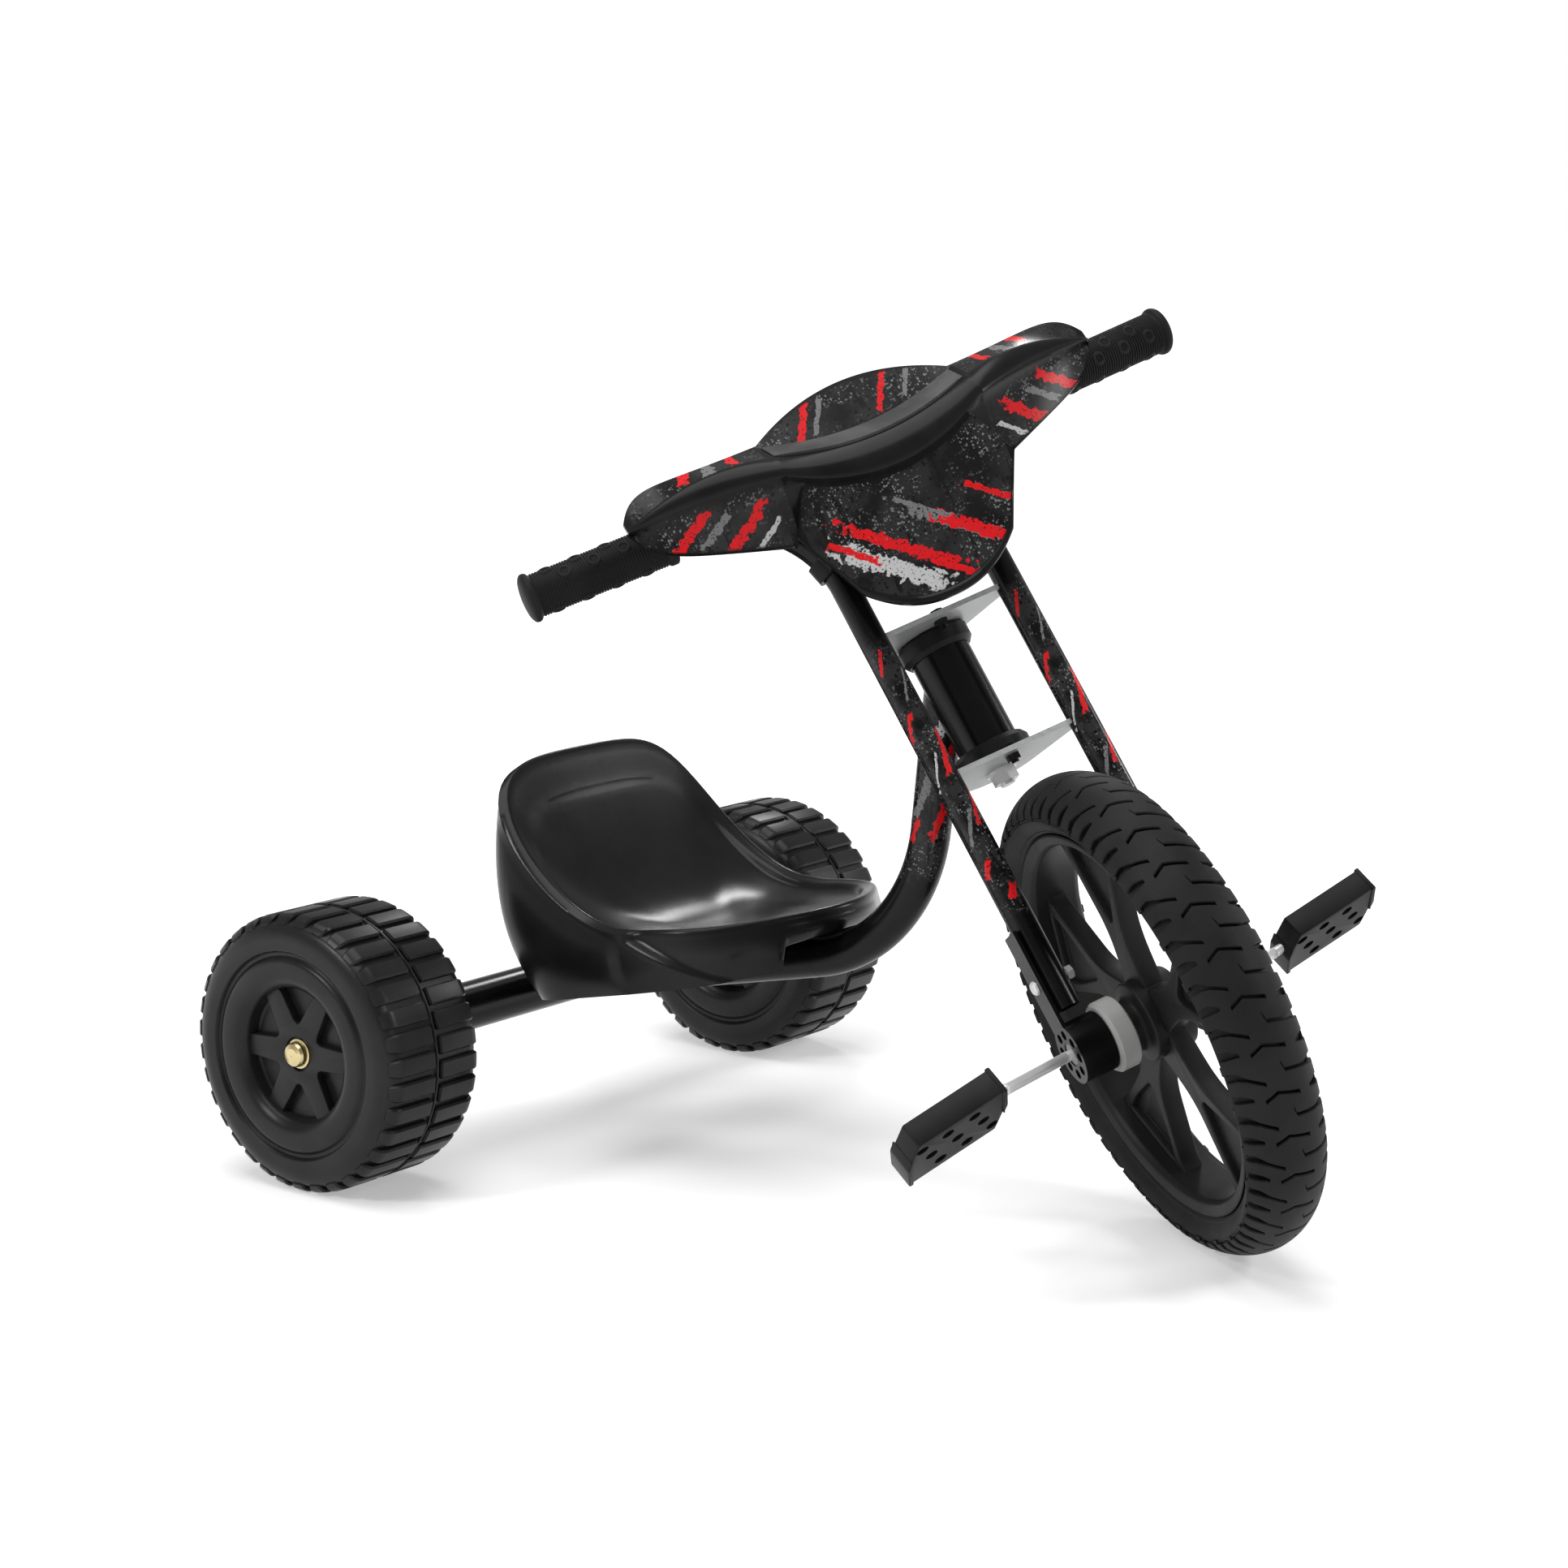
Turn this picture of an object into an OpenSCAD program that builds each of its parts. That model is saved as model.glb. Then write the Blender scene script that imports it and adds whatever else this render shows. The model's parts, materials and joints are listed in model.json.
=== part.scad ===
// Low rider tricycle with a raked direct drive front wheel and a low bucket seat.
// Forward is +X, the rider's left is +Y, up is +Z. The origin is on the floor under the rear axle.

/* [Rear wheels] */
// Outside diameter of a rear wheel
rear_d = 223; // [200:1:250]
// Width of a rear wheel
rear_w = 105; // [85:1:125]
// Distance between the middles of the two rear wheels
track = 537; // [480:1:600]
// Ribs in each row of a rear tread
rear_ribs = 35; // [20:1:40]
// Depth of the rear tread ribs
rear_rib_h = 4; // [2:0.5:6]
// Diameter of the hub recess in a rear wheel
recess_d = 114; // [90:1:130]
// Spokes in the hub recess
recess_spokes = 6; // [4:1:8]
// Diameter of the rear axle rod
axle_d = 12.7; // [10:0.1:14]

/* [Front wheel] */
// Height of the front tyre over the rim flange, lugs included
tyre_h = 37.5; // [34:0.5:46]
// Width of the front tyre
tyre_w = 68; // [58:1:76]
// Depth of the tyre lugs
lug_h = 4.5; // [2:0.5:6]
// Blocks round the middle of the tyre, with two lugs on each shoulder to one block
tyre_lugs = 33; // [28:1:50]
// Diameter of the rim over its flanges
rim_d = 306; // [280:1:330]
// Spokes of the moulded rim
rim_spokes = 5; // [4:1:6]

/* [Steering] */
// Lean of the steering axis back from upright
rake = 34.65; // [28:0.05:40]
// Turn of the front at rest, to the rider's right when negative
steer_rest = -37.1; // [-40:0.1:40]
// Forward place of the steering axis at the height below
axis_x = 476.3; // [460:0.1:500]
// Height on the steering axis from which the fork is measured
axis_z = 300; // [285:1:315]
// Distance between the middles of the fork legs
leg_gap = 117.4; // [110:0.1:130]
// Distance of the fork legs ahead of the steering axis
leg_offset = 50.5; // [44:0.1:58]
// Diameter of the fork and handlebar tube
tube_d = 22.2; // [20:0.1:25]
// Diameter of the head tube
head_d = 48; // [44:0.5:52]
// Length of the head tube
head_l = 80; // [70:1:90]
// Gap between the tyre and the lower bridge plate
wheel_gap = 31.68; // [20:0.01:45]
// Thickness of the two bridge plates
plate_t = 4; // [3:0.5:6]

/* [Handlebar] */
// Width over the ends of the grips
bar_w = 560; // [500:1:600]
// Height of the bars along the fork above the upper bridge plate
bar_u = 138; // [125:1:170]
// Bend radius of each bar
bar_bend = 90; // [75:1:95]
// Rise of the bars towards their ends
bar_rise = 2.5; // [0:0.5:6]
// Backward sweep of the bars
bar_sweep = 4.8; // [0:0.1:10]
// Length of a grip
grip_l = 121; // [100:1:130]
// Diameter of a grip
grip_d = 34; // [31:0.5:38]

/* [Frame] */
// Diameter of the bent main tube
main_d = 31.8; // [28:0.1:35]
// Rise of the main tube under the seat
main_rise = 12; // [8:0.5:16]
// Angle of the main tube where it reaches the head tube
main_up = 84; // [80:0.5:88]
// Bend radius of the main tube
main_bend = 136.5; // [110:0.5:150]
// Diameter of the cross tube round the rear axle
cross_d = 40; // [36:0.5:44]

/* [Seat] */
// Length of the seat
seat_l = 262; // [240:1:275]
// Width of the seat
seat_w = 250; // [220:1:280]
// Height of the backrest over the middle of the main tube
seat_h = 196; // [170:1:225]
// Height of the seat sides over the middle of the main tube
seat_side = 50; // [46:1:60]
// Thickness of the seat wall
seat_t = 4; // [3:0.5:5]
// Distance of the seat back ahead of the rear axle
seat_back = 58; // [52:1:66]

/* [Shield] */
// Half width of the shield
shield_half = 197.4; // [180:0.2:215]
// Wall of the shield
shield_t = 3; // [2:0.5:4]
// Lowest point of the front panel on the fork
panel_low = 167; // [160:1:178]

/* [Pedals] */
// Throw of the cranks
crank_r = 100; // [80:1:115]
// Angle of the right crank at rest about the wheel
crank_rest = -9.5; // [-180:0.5:180]
// Tilt of the pedal spindles about the crank arms
spindle_tilt = 7; // [0:0.5:10]
// Diameter of the crank rod
rod_d = 8; // [7:0.5:10]
// Length of a pedal
pedal_l = 85; // [75:1:95]
// Width of a pedal
pedal_w = 48; // [40:1:75]
// Thickness of a pedal
pedal_t = 22.5; // [18:0.5:32]

/* [Hidden] */
$fn = 96;

black_steel = [0.06, 0.06, 0.065];
black_plastic = [0.09, 0.09, 0.095];
rubber = [0.07, 0.07, 0.07];
zinc = [0.66, 0.67, 0.68];
steel = [0.72, 0.73, 0.75];
brass = [0.76, 0.62, 0.32];
nylon = [0.70, 0.71, 0.72];

// Rear axle and wheel sizes that follow from the ones above
axle_z = rear_d / 2;
rear_in = track / 2 - rear_w / 2;
rear_out = track / 2 + rear_w / 2;
cross_half = rear_in - 4;
washer_d = axle_d + 13.3;
cap_well_d = washer_d + 1;
axle_gap = 0.1;
rod_deep = 12;
boss_deep = rod_deep + 2.2;

// Front wheel: its middle hangs on the fork so that the leaning tyre just stands on the floor
crown_r = tyre_w * 0.56;
front_r = rim_d / 2 + tyre_h;
wheel_nz = sin(rake) * sin(-steer_rest);
wheel_drop = (front_r - crown_r) * sqrt(1 - wheel_nz * wheel_nz) + crown_r;
lift_g = leg_offset * sin(rake) * cos(steer_rest);
wheel_u = (wheel_drop - axis_z - lift_g) / cos(rake);
leg_y = leg_gap / 2;
outer_y = leg_y + tube_d / 2;
bracket_w = 25;
bracket_l = 98;
bracket_t = 3;
face_y = outer_y + bracket_t;
leg_end = wheel_u + 32;
bracket_bolt_z = 55;
house_d = 46;
bush_d = 18;
house_in = 45.5;
ring_d = 55;
valve_at = 184;
rim_deep = 11;
hub_d = 62;
hub_w = 34;
neck_d = 40;
neck_half = 28;
spoke_t = 16;
web_t = 5;
spoke_turn = 4;
ring_in = neck_half + 0.4;

// Head and bridge plates along the steering axis, clear of the tyre
cap_up_h = 16.6;
cap_dn_h = 15.6;
cap_gap = 0.4;
plate_dn = wheel_u + front_r + wheel_gap;
head_low = plate_dn + plate_t + cap_dn_h + cap_gap;
head_mid = head_low + head_l / 2;
head_top = head_low + head_l;
plate_up = head_top + cap_up_h + cap_gap;
bolt_d = 12;
wall = 1.8;
head_wall = 3;
cross_wall = 2.5;
turn_gap = 0.12;

// Small fasteners, all of one size, and the hexagon of the steering bolt
small_d = 6;
small_hole = small_d + 0.4;
small_nut = 11;
steer_hex = 21.5;
stop_x = leg_offset - 12;

// Main tube: lower run, bend and upper run all in the middle plane
join_s = head_mid + 29.7;
join_x = axis_x - join_s * sin(rake);
join_z = axis_z + join_s * cos(rake);
k_low = tan(main_rise);
k_up = cos(main_up) / sin(main_up);
corner_x = (join_x + (axle_z - join_z) * k_up) / (1 - k_low * k_up);
corner_z = axle_z + corner_x * k_low;
turn = main_up - main_rise;
tang = main_bend * tan(turn / 2);
low_len = corner_x / cos(main_rise) - tang;
up_len = (join_z - corner_z) / sin(main_up) - tang;

// Seat and its ring shape in the frame of the main tube's lower run
seat_mid = seat_back + seat_l * 0.49;
seat_fore = seat_l * 0.485;
seat_aft = seat_l * 0.45;
seat_square = 7;
seat_n = 72;
floor_h = 36;
bracket_top = floor_h - seat_t - 0.02;
saddle_at = [seat_mid - 16, seat_mid + 52];
saddle_bolt_y = 30;
saddle_l = 40;
saddle_w = 84;
saddle_t = 3;

// Handlebar run in the frame of one leg
bar_top = plate_up + bar_u;
bar_start = bar_top - bar_bend;
bar_turn = 90 - bar_rise;
bar_reach = (bar_w / 2 - leg_y) / cos(bar_sweep);
bar_run = (bar_reach - bar_bend * (1 - cos(bar_turn))) / sin(bar_turn);

pedal_out = 83;
pedal_turn = -20.5;
crank_shift = -8;
pedal_blunt = [26, 11];
pedal_in = face_y + pedal_out;
spin_mid = pedal_in + pedal_l / 2;
arm_dir = [cos(crank_rest), 0, sin(crank_rest)];
spin_dir = [-sin(crank_rest) * sin(spindle_tilt), cos(spindle_tilt), cos(crank_rest) * sin(spindle_tilt)];

// Places a piece in the turned front: x ahead of the steering axis, y to the rider's left, z up the axis
module front() {
  translate([axis_x, 0, axis_z])
    rotate([0, -rake, 0])
      rotate([0, 0, steer_rest])
        children();
}

// The head tube and its caps stay with the frame, so they lean but don't turn
module head() {
  translate([axis_x, 0, axis_z])
    rotate([0, -rake, 0])
      children();
}

// The lower run of the main tube: x along the tube, z square to it
module seat_frame() {
  translate([0, 0, axle_z])
    rotate([0, -main_rise, 0])
      children();
}

// Places a piece on the front wheel's axle with z along the axle to the rider's left
module wheel() {
  front()
    translate([leg_offset, 0, wheel_u])
      rotate([-90, 0, 0])
        children();
}

// Gear shaped flat outline, used to part a tread ring into ribs
module teeth(n, r_low, r_high, part, shift) {
  step = 360 / n;
  half = step * part / 2;
  polygon([for (i = [0 : n - 1])
    for (k = [0 : 3])
      let (a = i * step + shift + (k < 2 ? -half : half))
      let (r = (k == 0 || k == 3) ? r_low : r_high)
      [r * cos(a), r * sin(a)]]);
}

// Bent stretch of round tube in the plane z = 0, from +X turning towards +Y, let into the straight runs
module bend(r, turn_by, d) {
  lap = 0.5;
  rotate([0, 0, -lap])
    rotate_extrude(angle = turn_by + 2 * lap)
      translate([r, 0])
        circle(d = d - 0.2);
}

// Closed skin over a stack of closed rings, each with the same count of points, closed by two poles
module ring_skin(rings) {
  m = len(rings);
  n = len(rings[0]);
  pts = [for (r = rings) for (p = r) p];
  first = [for (k = [0 : 2]) sum_of([for (p = rings[0]) p[k]], 0) / n];
  last = [for (k = [0 : 2]) sum_of([for (p = rings[m - 1]) p[k]], 0) / n];
  lower = [for (i = [0 : m - 2]) for (j = [0 : n - 1])
    [i * n + j, i * n + (j + 1) % n, (i + 1) * n + j]];
  upper = [for (i = [0 : m - 2]) for (j = [0 : n - 1])
    [i * n + (j + 1) % n, (i + 1) * n + (j + 1) % n, (i + 1) * n + j]];
  start = [for (j = [0 : n - 1]) [m * n, (j + 1) % n, j]];
  stop = [for (j = [0 : n - 1]) [m * n + 1, (m - 1) * n + j, (m - 1) * n + (j + 1) % n]];
  polyhedron(points = concat(pts, [first, last]), faces = concat(lower, upper, start, stop), convexity = 10);
}

function sum_of(v, i) = i >= len(v) ? 0 : v[i] + sum_of(v, i + 1);
function mix(a, b, t) = a + (b - a) * t;
function clamp01(t) = max(0, min(1, t));
function ease(t) = clamp01(t) * clamp01(t) * (3 - 2 * clamp01(t));

// Frame

// The run of the main tube as a round bar of the given diameter
module main_run(d) {
  translate([0, 0, axle_z])
    rotate([0, 90 - main_rise, 0])
      cylinder(d = d, h = low_len);
  translate([low_len * cos(main_rise), 0, axle_z + low_len * sin(main_rise)])
    rotate([90, 0, 0])
      rotate([0, 0, main_rise - 90])
        translate([-main_bend, 0, 0])
          bend(main_bend, turn, d);
  translate([corner_x + tang * cos(main_up), 0, corner_z + tang * sin(main_up)])
    rotate([0, 90 - main_up, 0])
      cylinder(d = d, h = up_len);
}

module main_tube() {
  color(black_steel)
    difference() {
      main_run(main_d);
      main_run(main_d - 2 * wall);
      translate([0, cross_half, axle_z])
        rotate([90, 0, 0])
          cylinder(d = cross_d, h = 2 * cross_half);
      head()
        translate([0, 0, head_low - 10])
          cylinder(d = head_d, h = head_l + 20);
    }
}

module head_tube() {
  color(black_steel)
    head()
      translate([0, 0, head_low])
        difference() {
          cylinder(d = head_d, h = head_l);
          translate([0, 0, -1])
            cylinder(d = head_d - 2 * head_wall, h = head_l + 2);
        }
}

module cross_tube() {
  color(black_steel)
    translate([0, cross_half, axle_z])
      rotate([90, 0, 0])
        difference() {
          cylinder(d = cross_d, h = 2 * cross_half);
          translate([0, 0, -1])
            cylinder(d = cross_d - 2 * cross_wall, h = 2 * cross_half + 2);
        }
}

module axle_rod() {
  color(steel)
    translate([0, rear_out - rod_deep, axle_z])
      rotate([90, 0, 0])
        cylinder(d = axle_d, h = 2 * (rear_out - rod_deep));
}

// Plastic plugs that centre the rod in the cross tube, each with a thin flange
module axle_plugs() {
  color(black_plastic)
    for (s = [-1, 1])
      translate([0, s * cross_half, axle_z])
        rotate([-90 * s, 0, 0])
          difference() {
            union() {
              cylinder(d = cross_d - 0.5, h = 2.2);
              translate([0, 0, -18])
                cylinder(d = cross_d - 2 * cross_wall, h = 18.5);
            }
            translate([0, 0, -20])
              cylinder(d = axle_d, h = 40);
          }
}

module axle_washers() {
  color(steel)
    for (s = [-1, 1])
      translate([0, s * (rear_out - rod_deep - 1.6), axle_z])
        rotate([-90 * s, 0, 0])
          difference() {
            cylinder(d = washer_d, h = 1.5);
            translate([0, 0, -1])
              cylinder(d = axle_d, h = 4);
          }
}

// Domed push caps that hold the wheels on the rod
module axle_caps() {
  color(brass)
    for (s = [-1, 1])
      translate([0, s * (rear_out - rod_deep - 0.05), axle_z])
        rotate([-90 * s, 0, 0])
          rotate_extrude()
            polygon([[0, 0.06], [axle_d / 2 + 5.4, 0.06], [axle_d / 2 + 5.4, 1.4], [axle_d / 2 + 3.9, 1.8],
              [axle_d / 2 + 3.6, 5.5], [axle_d / 2 + 2.4, 7.6], [axle_d / 2 - 0.8, 8.8], [0, 9.2]]);
}

// Hollow moulded wheel: ribbed tread in two rows, rounded shoulders, spoked hub recess on both faces
// and a vent from the moulding on the inner face
module rear_wheel_body(side) {
  r = rear_d / 2;
  h = rear_w / 2;
  base = r - rear_rib_h;
  rec = recess_d / 2;
  groove = mix(rec + 5, r - 20, 0.62);
  bore_r = (axle_d + axle_gap) / 2;
  difference() {
    union() {
      rotate_extrude()
        polygon([[bore_r, -h + boss_deep], [22, -h + boss_deep], [22, -h + 20], [rec - 4, -h + 20],
          [rec, -h + 2], [rec + 5, -h], [groove - 3.2, -h], [groove - 1, -h + 4], [groove + 1.4, -h + 4],
          [groove + 3.4, -h + 0.6], [r - 20, -h + 0.6], [r - 14, -h + 1.8], [r - 8, -h + 5.5],
          [base, -h + 13], [base, h - 13], [r - 8, h - 5.5], [r - 14, h - 1.8], [r - 20, h - 0.6],
          [groove + 3.4, h - 0.6], [groove + 1.4, h - 4], [groove - 1, h - 4], [groove - 3.2, h],
          [rec + 5, h], [rec, h - 2], [rec - 4, h - 20], [22, h - 20], [22, h - boss_deep],
          [bore_r, h - boss_deep]]);
      for (s = [-1, 1])
        intersection() {
          rotate_extrude()
            polygon([[base - 3, s * 4], [r, s * 5], [r, s * (h - 14)], [r - 2.5, s * (h - 9)],
              [r - 8, s * (h - 5.5)], [base - 8, s * (h - 6.5)]]);
          translate([0, 0, -h])
            linear_extrude(2 * h)
              teeth(rear_ribs, base - 12, r + 6, 0.8, s * 90 / rear_ribs);
        }
      for (s = [-1, 1])
        translate([0, 0, s > 0 ? h - 21 : -h + 10])
          linear_extrude(11)
            recess_star(rec - 0.5);
    }
    cylinder(r = bore_r, h = 2 * rear_w, center = true);
    rotate_extrude()
      polygon([[26, -h + 24], [rec - 1, -h + 24], [rec + 4, -h + 8], [r - 20, -h + 8],
        [base - 4.5, -h + 16], [base - 4.5, h - 16], [r - 20, h - 8], [rec + 4, h - 8],
        [rec - 1, h - 24], [26, h - 24]]);
    translate([rec + 16, 0, side > 0 ? h - 10 : -h - 2])
      cylinder(d = 6, h = 12);
  }
}

// Flat hub plate of a recess with its spokes, open in the middle for the push cap
module recess_star(reach) {
  step = 360 / recess_spokes;
  half_w = 8.2;
  notch_r = 21;
  difference() {
    polygon([for (i = [0 : recess_spokes - 1])
      for (p = [[reach, -half_w, i * step], [reach, half_w, i * step], [notch_r, 0, (i + 0.5) * step]])
        [p[0] * cos(p[2]) - p[1] * sin(p[2]), p[0] * sin(p[2]) + p[1] * cos(p[2])]]);
    circle(d = cap_well_d);
  }
}

module rear_wheel_right() {
  color(black_plastic)
    translate([0, -track / 2, axle_z])
      rotate([-90, 0, 0])
        rear_wheel_body(1);
}

module rear_wheel_left() {
  color(black_plastic)
    translate([0, track / 2, axle_z])
      rotate([-90, 0, 0])
        rear_wheel_body(-1);
}

// Seat: rings from the middle of the pan over the rim and down the skirt, then back along the inside

function seat_p(a) = mix(2.0, seat_square, ease((1 - cos(a)) / 1.7));
function seat_r(a, e) =
  let (ax = (cos(a) > 0 ? seat_fore : seat_aft) + e)
  let (by = seat_w / 2 * (1 - 0.10 * max(0, cos(a))) + e)
  let (q = seat_p(a))
  1 / pow(pow(abs(cos(a)) / ax, q) + pow(abs(sin(a)) / by, q), 1 / q);
function seat_x(a) = seat_mid + seat_r(a, 0) * cos(a);
function seat_y(a) = seat_r(a, 0) * sin(a);
function seat_rise(a) = pow(clamp01((seat_mid + 26 - seat_x(a)) / (seat_aft + 26)), 2.2);
function seat_arch(a) = cos(a) < 0 ? 1 - 0.14 * pow(abs(seat_y(a)) / (seat_w / 2), 3) : 1;
function seat_rim(a) = seat_side - 8 * ease((seat_x(a) - seat_mid) / seat_fore)
  + (seat_h - seat_side) * seat_rise(a) * seat_arch(a);
// Rise of the main tube where its bend starts under the front of the seat
function tube_rise(x) = x < low_len ? 0 : main_bend - sqrt(pow(main_bend, 2) - pow(x - low_len, 2));
tube_clear = 1.5;
skirt_out = 3;
function seat_foot(a) =
  abs(seat_y(a)) < 60 && cos(a) > 0 ? main_d / 2 + tube_clear + tube_rise(seat_x(a) + skirt_out)
  : abs(seat_y(a)) < 40 && cos(a) < 0 ? main_d / 2 + tube_clear : 0;

// A ring drawn in from the rim by the share t, sunk towards the pan
function pan_ring(t, drop, inset) = [for (j = [0 : seat_n - 1])
  let (a = j * 360 / seat_n)
  let (r = seat_r(a, -inset) * (1 - t))
  let (f = pow(1 - t, 2.6))
  [seat_mid + 14 * t + r * cos(a), r * sin(a), mix(floor_h, seat_rim(a), f) - drop]];

// How far the wall stands out from the rim at the share t of its height
function back_bow(t) = 11 * sin(166 * pow(t, 0.9)) - 10 * pow(t, 4);
function side_bow(t) = 3 * sin(180 * t) - 5 * t;

// A ring down the wall by the share t, grown by the amount out. Behind a crease that runs forward as it goes
// down, the wall stands further out.
function skirt_ring(t, out, lift) = [for (j = [0 : seat_n - 1])
  let (a = j * 360 / seat_n)
  let (back = sqrt(max(0, -cos(a))))
  let (z = mix(seat_rim(a) - 7, seat_foot(a), t))
  let (flare = 5 * ease((seat_mid + mix(20, 90, t) - seat_x(a)) / 14) * abs(sin(a)))
  let (r = seat_r(a, out + flare + mix(side_bow(t), back_bow(t), back)))
  [seat_mid + r * cos(a), r * sin(a), z + lift]];

module seat() {
  color(black_plastic)
    seat_frame()
      ring_skin(concat(
        [for (t = [0.94, 0.8, 0.66, 0.54, 0.43, 0.33, 0.24, 0.16, 0.09, 0.04]) pan_ring(t, 0, 0)],
        [pan_ring(0.012, -0.4, 0), pan_ring(0, 0.4, -1.6), skirt_ring(0, 2.6, 4)],
        [for (t = [0, 0.2, 0.4, 0.6, 0.8, 0.92, 1]) skirt_ring(t, skirt_out, 0)],
        [for (t = [1, 0.92, 0.8, 0.6, 0.4, 0.2, 0]) skirt_ring(t, skirt_out - seat_t, t == 0 ? -1 : 0)],
        [for (t = [0.1, 0.16, 0.24, 0.33, 0.43, 0.54, 0.66, 0.8, 0.94]) pan_ring(t, seat_t, 1.5)]));
}

// Bent steel saddles that carry the pan over the main tube
module seat_bracket(x) {
  color(black_steel)
    seat_frame()
      translate([x, 0, 0])
        difference() {
          union() {
            translate([-saddle_l / 2, -saddle_w / 2, bracket_top - saddle_t])
              cube([saddle_l, saddle_w, saddle_t]);
            for (s = [-1, 1])
              translate([-saddle_l / 2, s * 13.5 - saddle_t / 2, main_d / 2 * 0.3])
                cube([saddle_l, saddle_t, bracket_top - main_d / 2 * 0.3]);
          }
          translate([-30, 0, 0])
            rotate([0, 90, 0])
              cylinder(d = main_d, h = 60);
          for (s = [-1, 1])
            translate([0, s * saddle_bolt_y, bracket_top - 10])
              cylinder(d = small_hole, h = 20);
        }
}

module seat_bracket_front() {
  seat_bracket(saddle_at[1]);
}

module seat_bracket_rear() {
  seat_bracket(saddle_at[0]);
}

module seat_bolts() {
  color(steel)
    seat_frame()
      for (x = saddle_at, s = [-1, 1])
        translate([x, s * saddle_bolt_y, bracket_top - 12])
          cylinder(d = small_d, h = 11.7);
}

module seat_nuts() {
  color(zinc)
    seat_frame()
      for (x = saddle_at, s = [-1, 1])
        translate([x, s * saddle_bolt_y, bracket_top - 8.2])
          difference() {
            cylinder(d = small_nut, h = 5, $fn = 6);
            translate([0, 0, -1])
              cylinder(d = small_d, h = 8);
          }
}

// Flanged bushes in the ends of the head tube
module head_cap(flange_d, flange_h) {
  difference() {
    union() {
      rotate_extrude()
        polygon([[0, 0.02], [flange_d / 2 - 3, 0.02], [flange_d / 2, 4], [flange_d / 2, flange_h - 2],
          [flange_d / 2 - 2, flange_h], [0, flange_h]]);
      translate([0, 0, -16])
        cylinder(d = head_d - 2 * head_wall, h = 16.5);
    }
    translate([0, 0, -20])
      cylinder(d = bolt_d + turn_gap, h = 60);
  }
}

module head_cap_upper() {
  color(black_plastic)
    head()
      translate([0, 0, head_top])
        head_cap(58, cap_up_h);
}

module head_cap_lower() {
  color(black_plastic)
    head()
      translate([0, 0, head_low])
        mirror([0, 0, 1])
          head_cap(62, cap_dn_h);
}

// Fork

// The run of one fork leg and its bar as a round bar of the given diameter, longer at both ends by over
module fork_run(s, d, over) {
  front()
    translate([leg_offset, s * leg_y, 0])
      rotate([0, 0, s > 0 ? 90 + bar_sweep : -90 - bar_sweep]) {
        translate([0, 0, leg_end - over])
          cylinder(d = d, h = bar_start - leg_end + over);
        translate([bar_bend, 0, bar_start])
          rotate([90, 0, 0])
            rotate([0, 0, 180 - bar_turn])
              bend(bar_bend, bar_turn, d);
        translate([bar_bend * (1 - cos(bar_turn)), 0, bar_start + bar_bend * sin(bar_turn)])
          rotate([0, bar_turn, 0])
            cylinder(d = d, h = bar_run - 3 + over);
      }
}

module fork_tube(s) {
  color(black_steel)
    difference() {
      fork_run(s, tube_d, 0);
      fork_run(s, tube_d - 2 * wall, 1);
      bolt_hole(s);
    }
}

module fork_tube_right() {
  fork_tube(-1);
}

module fork_tube_left() {
  fork_tube(1);
}

// Hole for the bolt of each fork end
module bolt_hole(s) {
  front()
    translate([leg_offset, s * leg_y, wheel_u + bracket_bolt_z])
      rotate([90, 0, 0])
        cylinder(d = small_hole, h = 60, center = true);
}

// Frame of a bar's end: z points out along the bar from the end of the grip
module bar_end(s) {
  front()
    translate([leg_offset, s * leg_y, 0])
      rotate([0, 0, s > 0 ? 90 + bar_sweep : -90 - bar_sweep])
        translate([bar_bend * (1 - cos(bar_turn)), 0, bar_start + bar_bend * sin(bar_turn)])
          rotate([0, bar_turn, 0])
            translate([0, 0, bar_run])
              children();
}

// Rubber grip: flanged and domed at its end, ribbed along its length, with a collar inboard
module grip_body() {
  difference() {
    rotate_extrude()
      polygon(concat(
        [[0, 0], [9, -0.3], [15, -1.5], [18.6, -3.6], [19.4, -6], [18.8, -8.6], [grip_d / 2 - 0.6, -11]],
        [for (i = [0 : 23]) for (k = [0, 1])
          [grip_d / 2 - (k == 0 ? 0 : 0.8), -12 - (i + k * 0.55) * (grip_l - 20) / 24]],
        [[grip_d / 2 - 0.5, -grip_l + 8], [grip_d / 2 + 1.2, -grip_l + 6], [grip_d / 2 + 1.2, -grip_l + 1.5],
          [grip_d / 2 - 0.5, -grip_l], [0, -grip_l]]));
    translate([0, 0, -grip_l - 1])
      cylinder(d = tube_d, h = grip_l - 2);
  }
}

module grip_right() {
  color(rubber)
    bar_end(-1)
      grip_body();
}

module grip_left() {
  color(rubber)
    bar_end(1)
      grip_body();
}

// Flat bridge plate: straight front edge at the legs, round behind the steering bolt
module bridge_outline() {
  r = 36;
  far = sqrt(leg_offset * leg_offset + leg_y * leg_y);
  side = atan2(leg_y, leg_offset) + acos((r - 2) / far);
  difference() {
    union() {
      circle(r = r);
      polygon([[leg_offset + 4, -leg_y], [leg_offset + 4, leg_y], [leg_offset - 14, leg_y],
        [r * cos(side), r * sin(side)], [r * cos(side), -r * sin(side)], [leg_offset - 14, -leg_y]]);
    }
    for (s = [-1, 1])
      translate([leg_offset, s * leg_y])
        circle(d = tube_d);
    circle(d = bolt_d);
    translate([stop_x, 0])
      circle(d = small_d);
  }
}

module bridge_plate_upper() {
  color(zinc)
    front()
      translate([0, 0, plate_up])
        linear_extrude(plate_t)
          bridge_outline();
}

module bridge_plate_lower() {
  color(zinc)
    front()
      translate([0, 0, plate_dn])
        linear_extrude(plate_t)
          bridge_outline();
}

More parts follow.
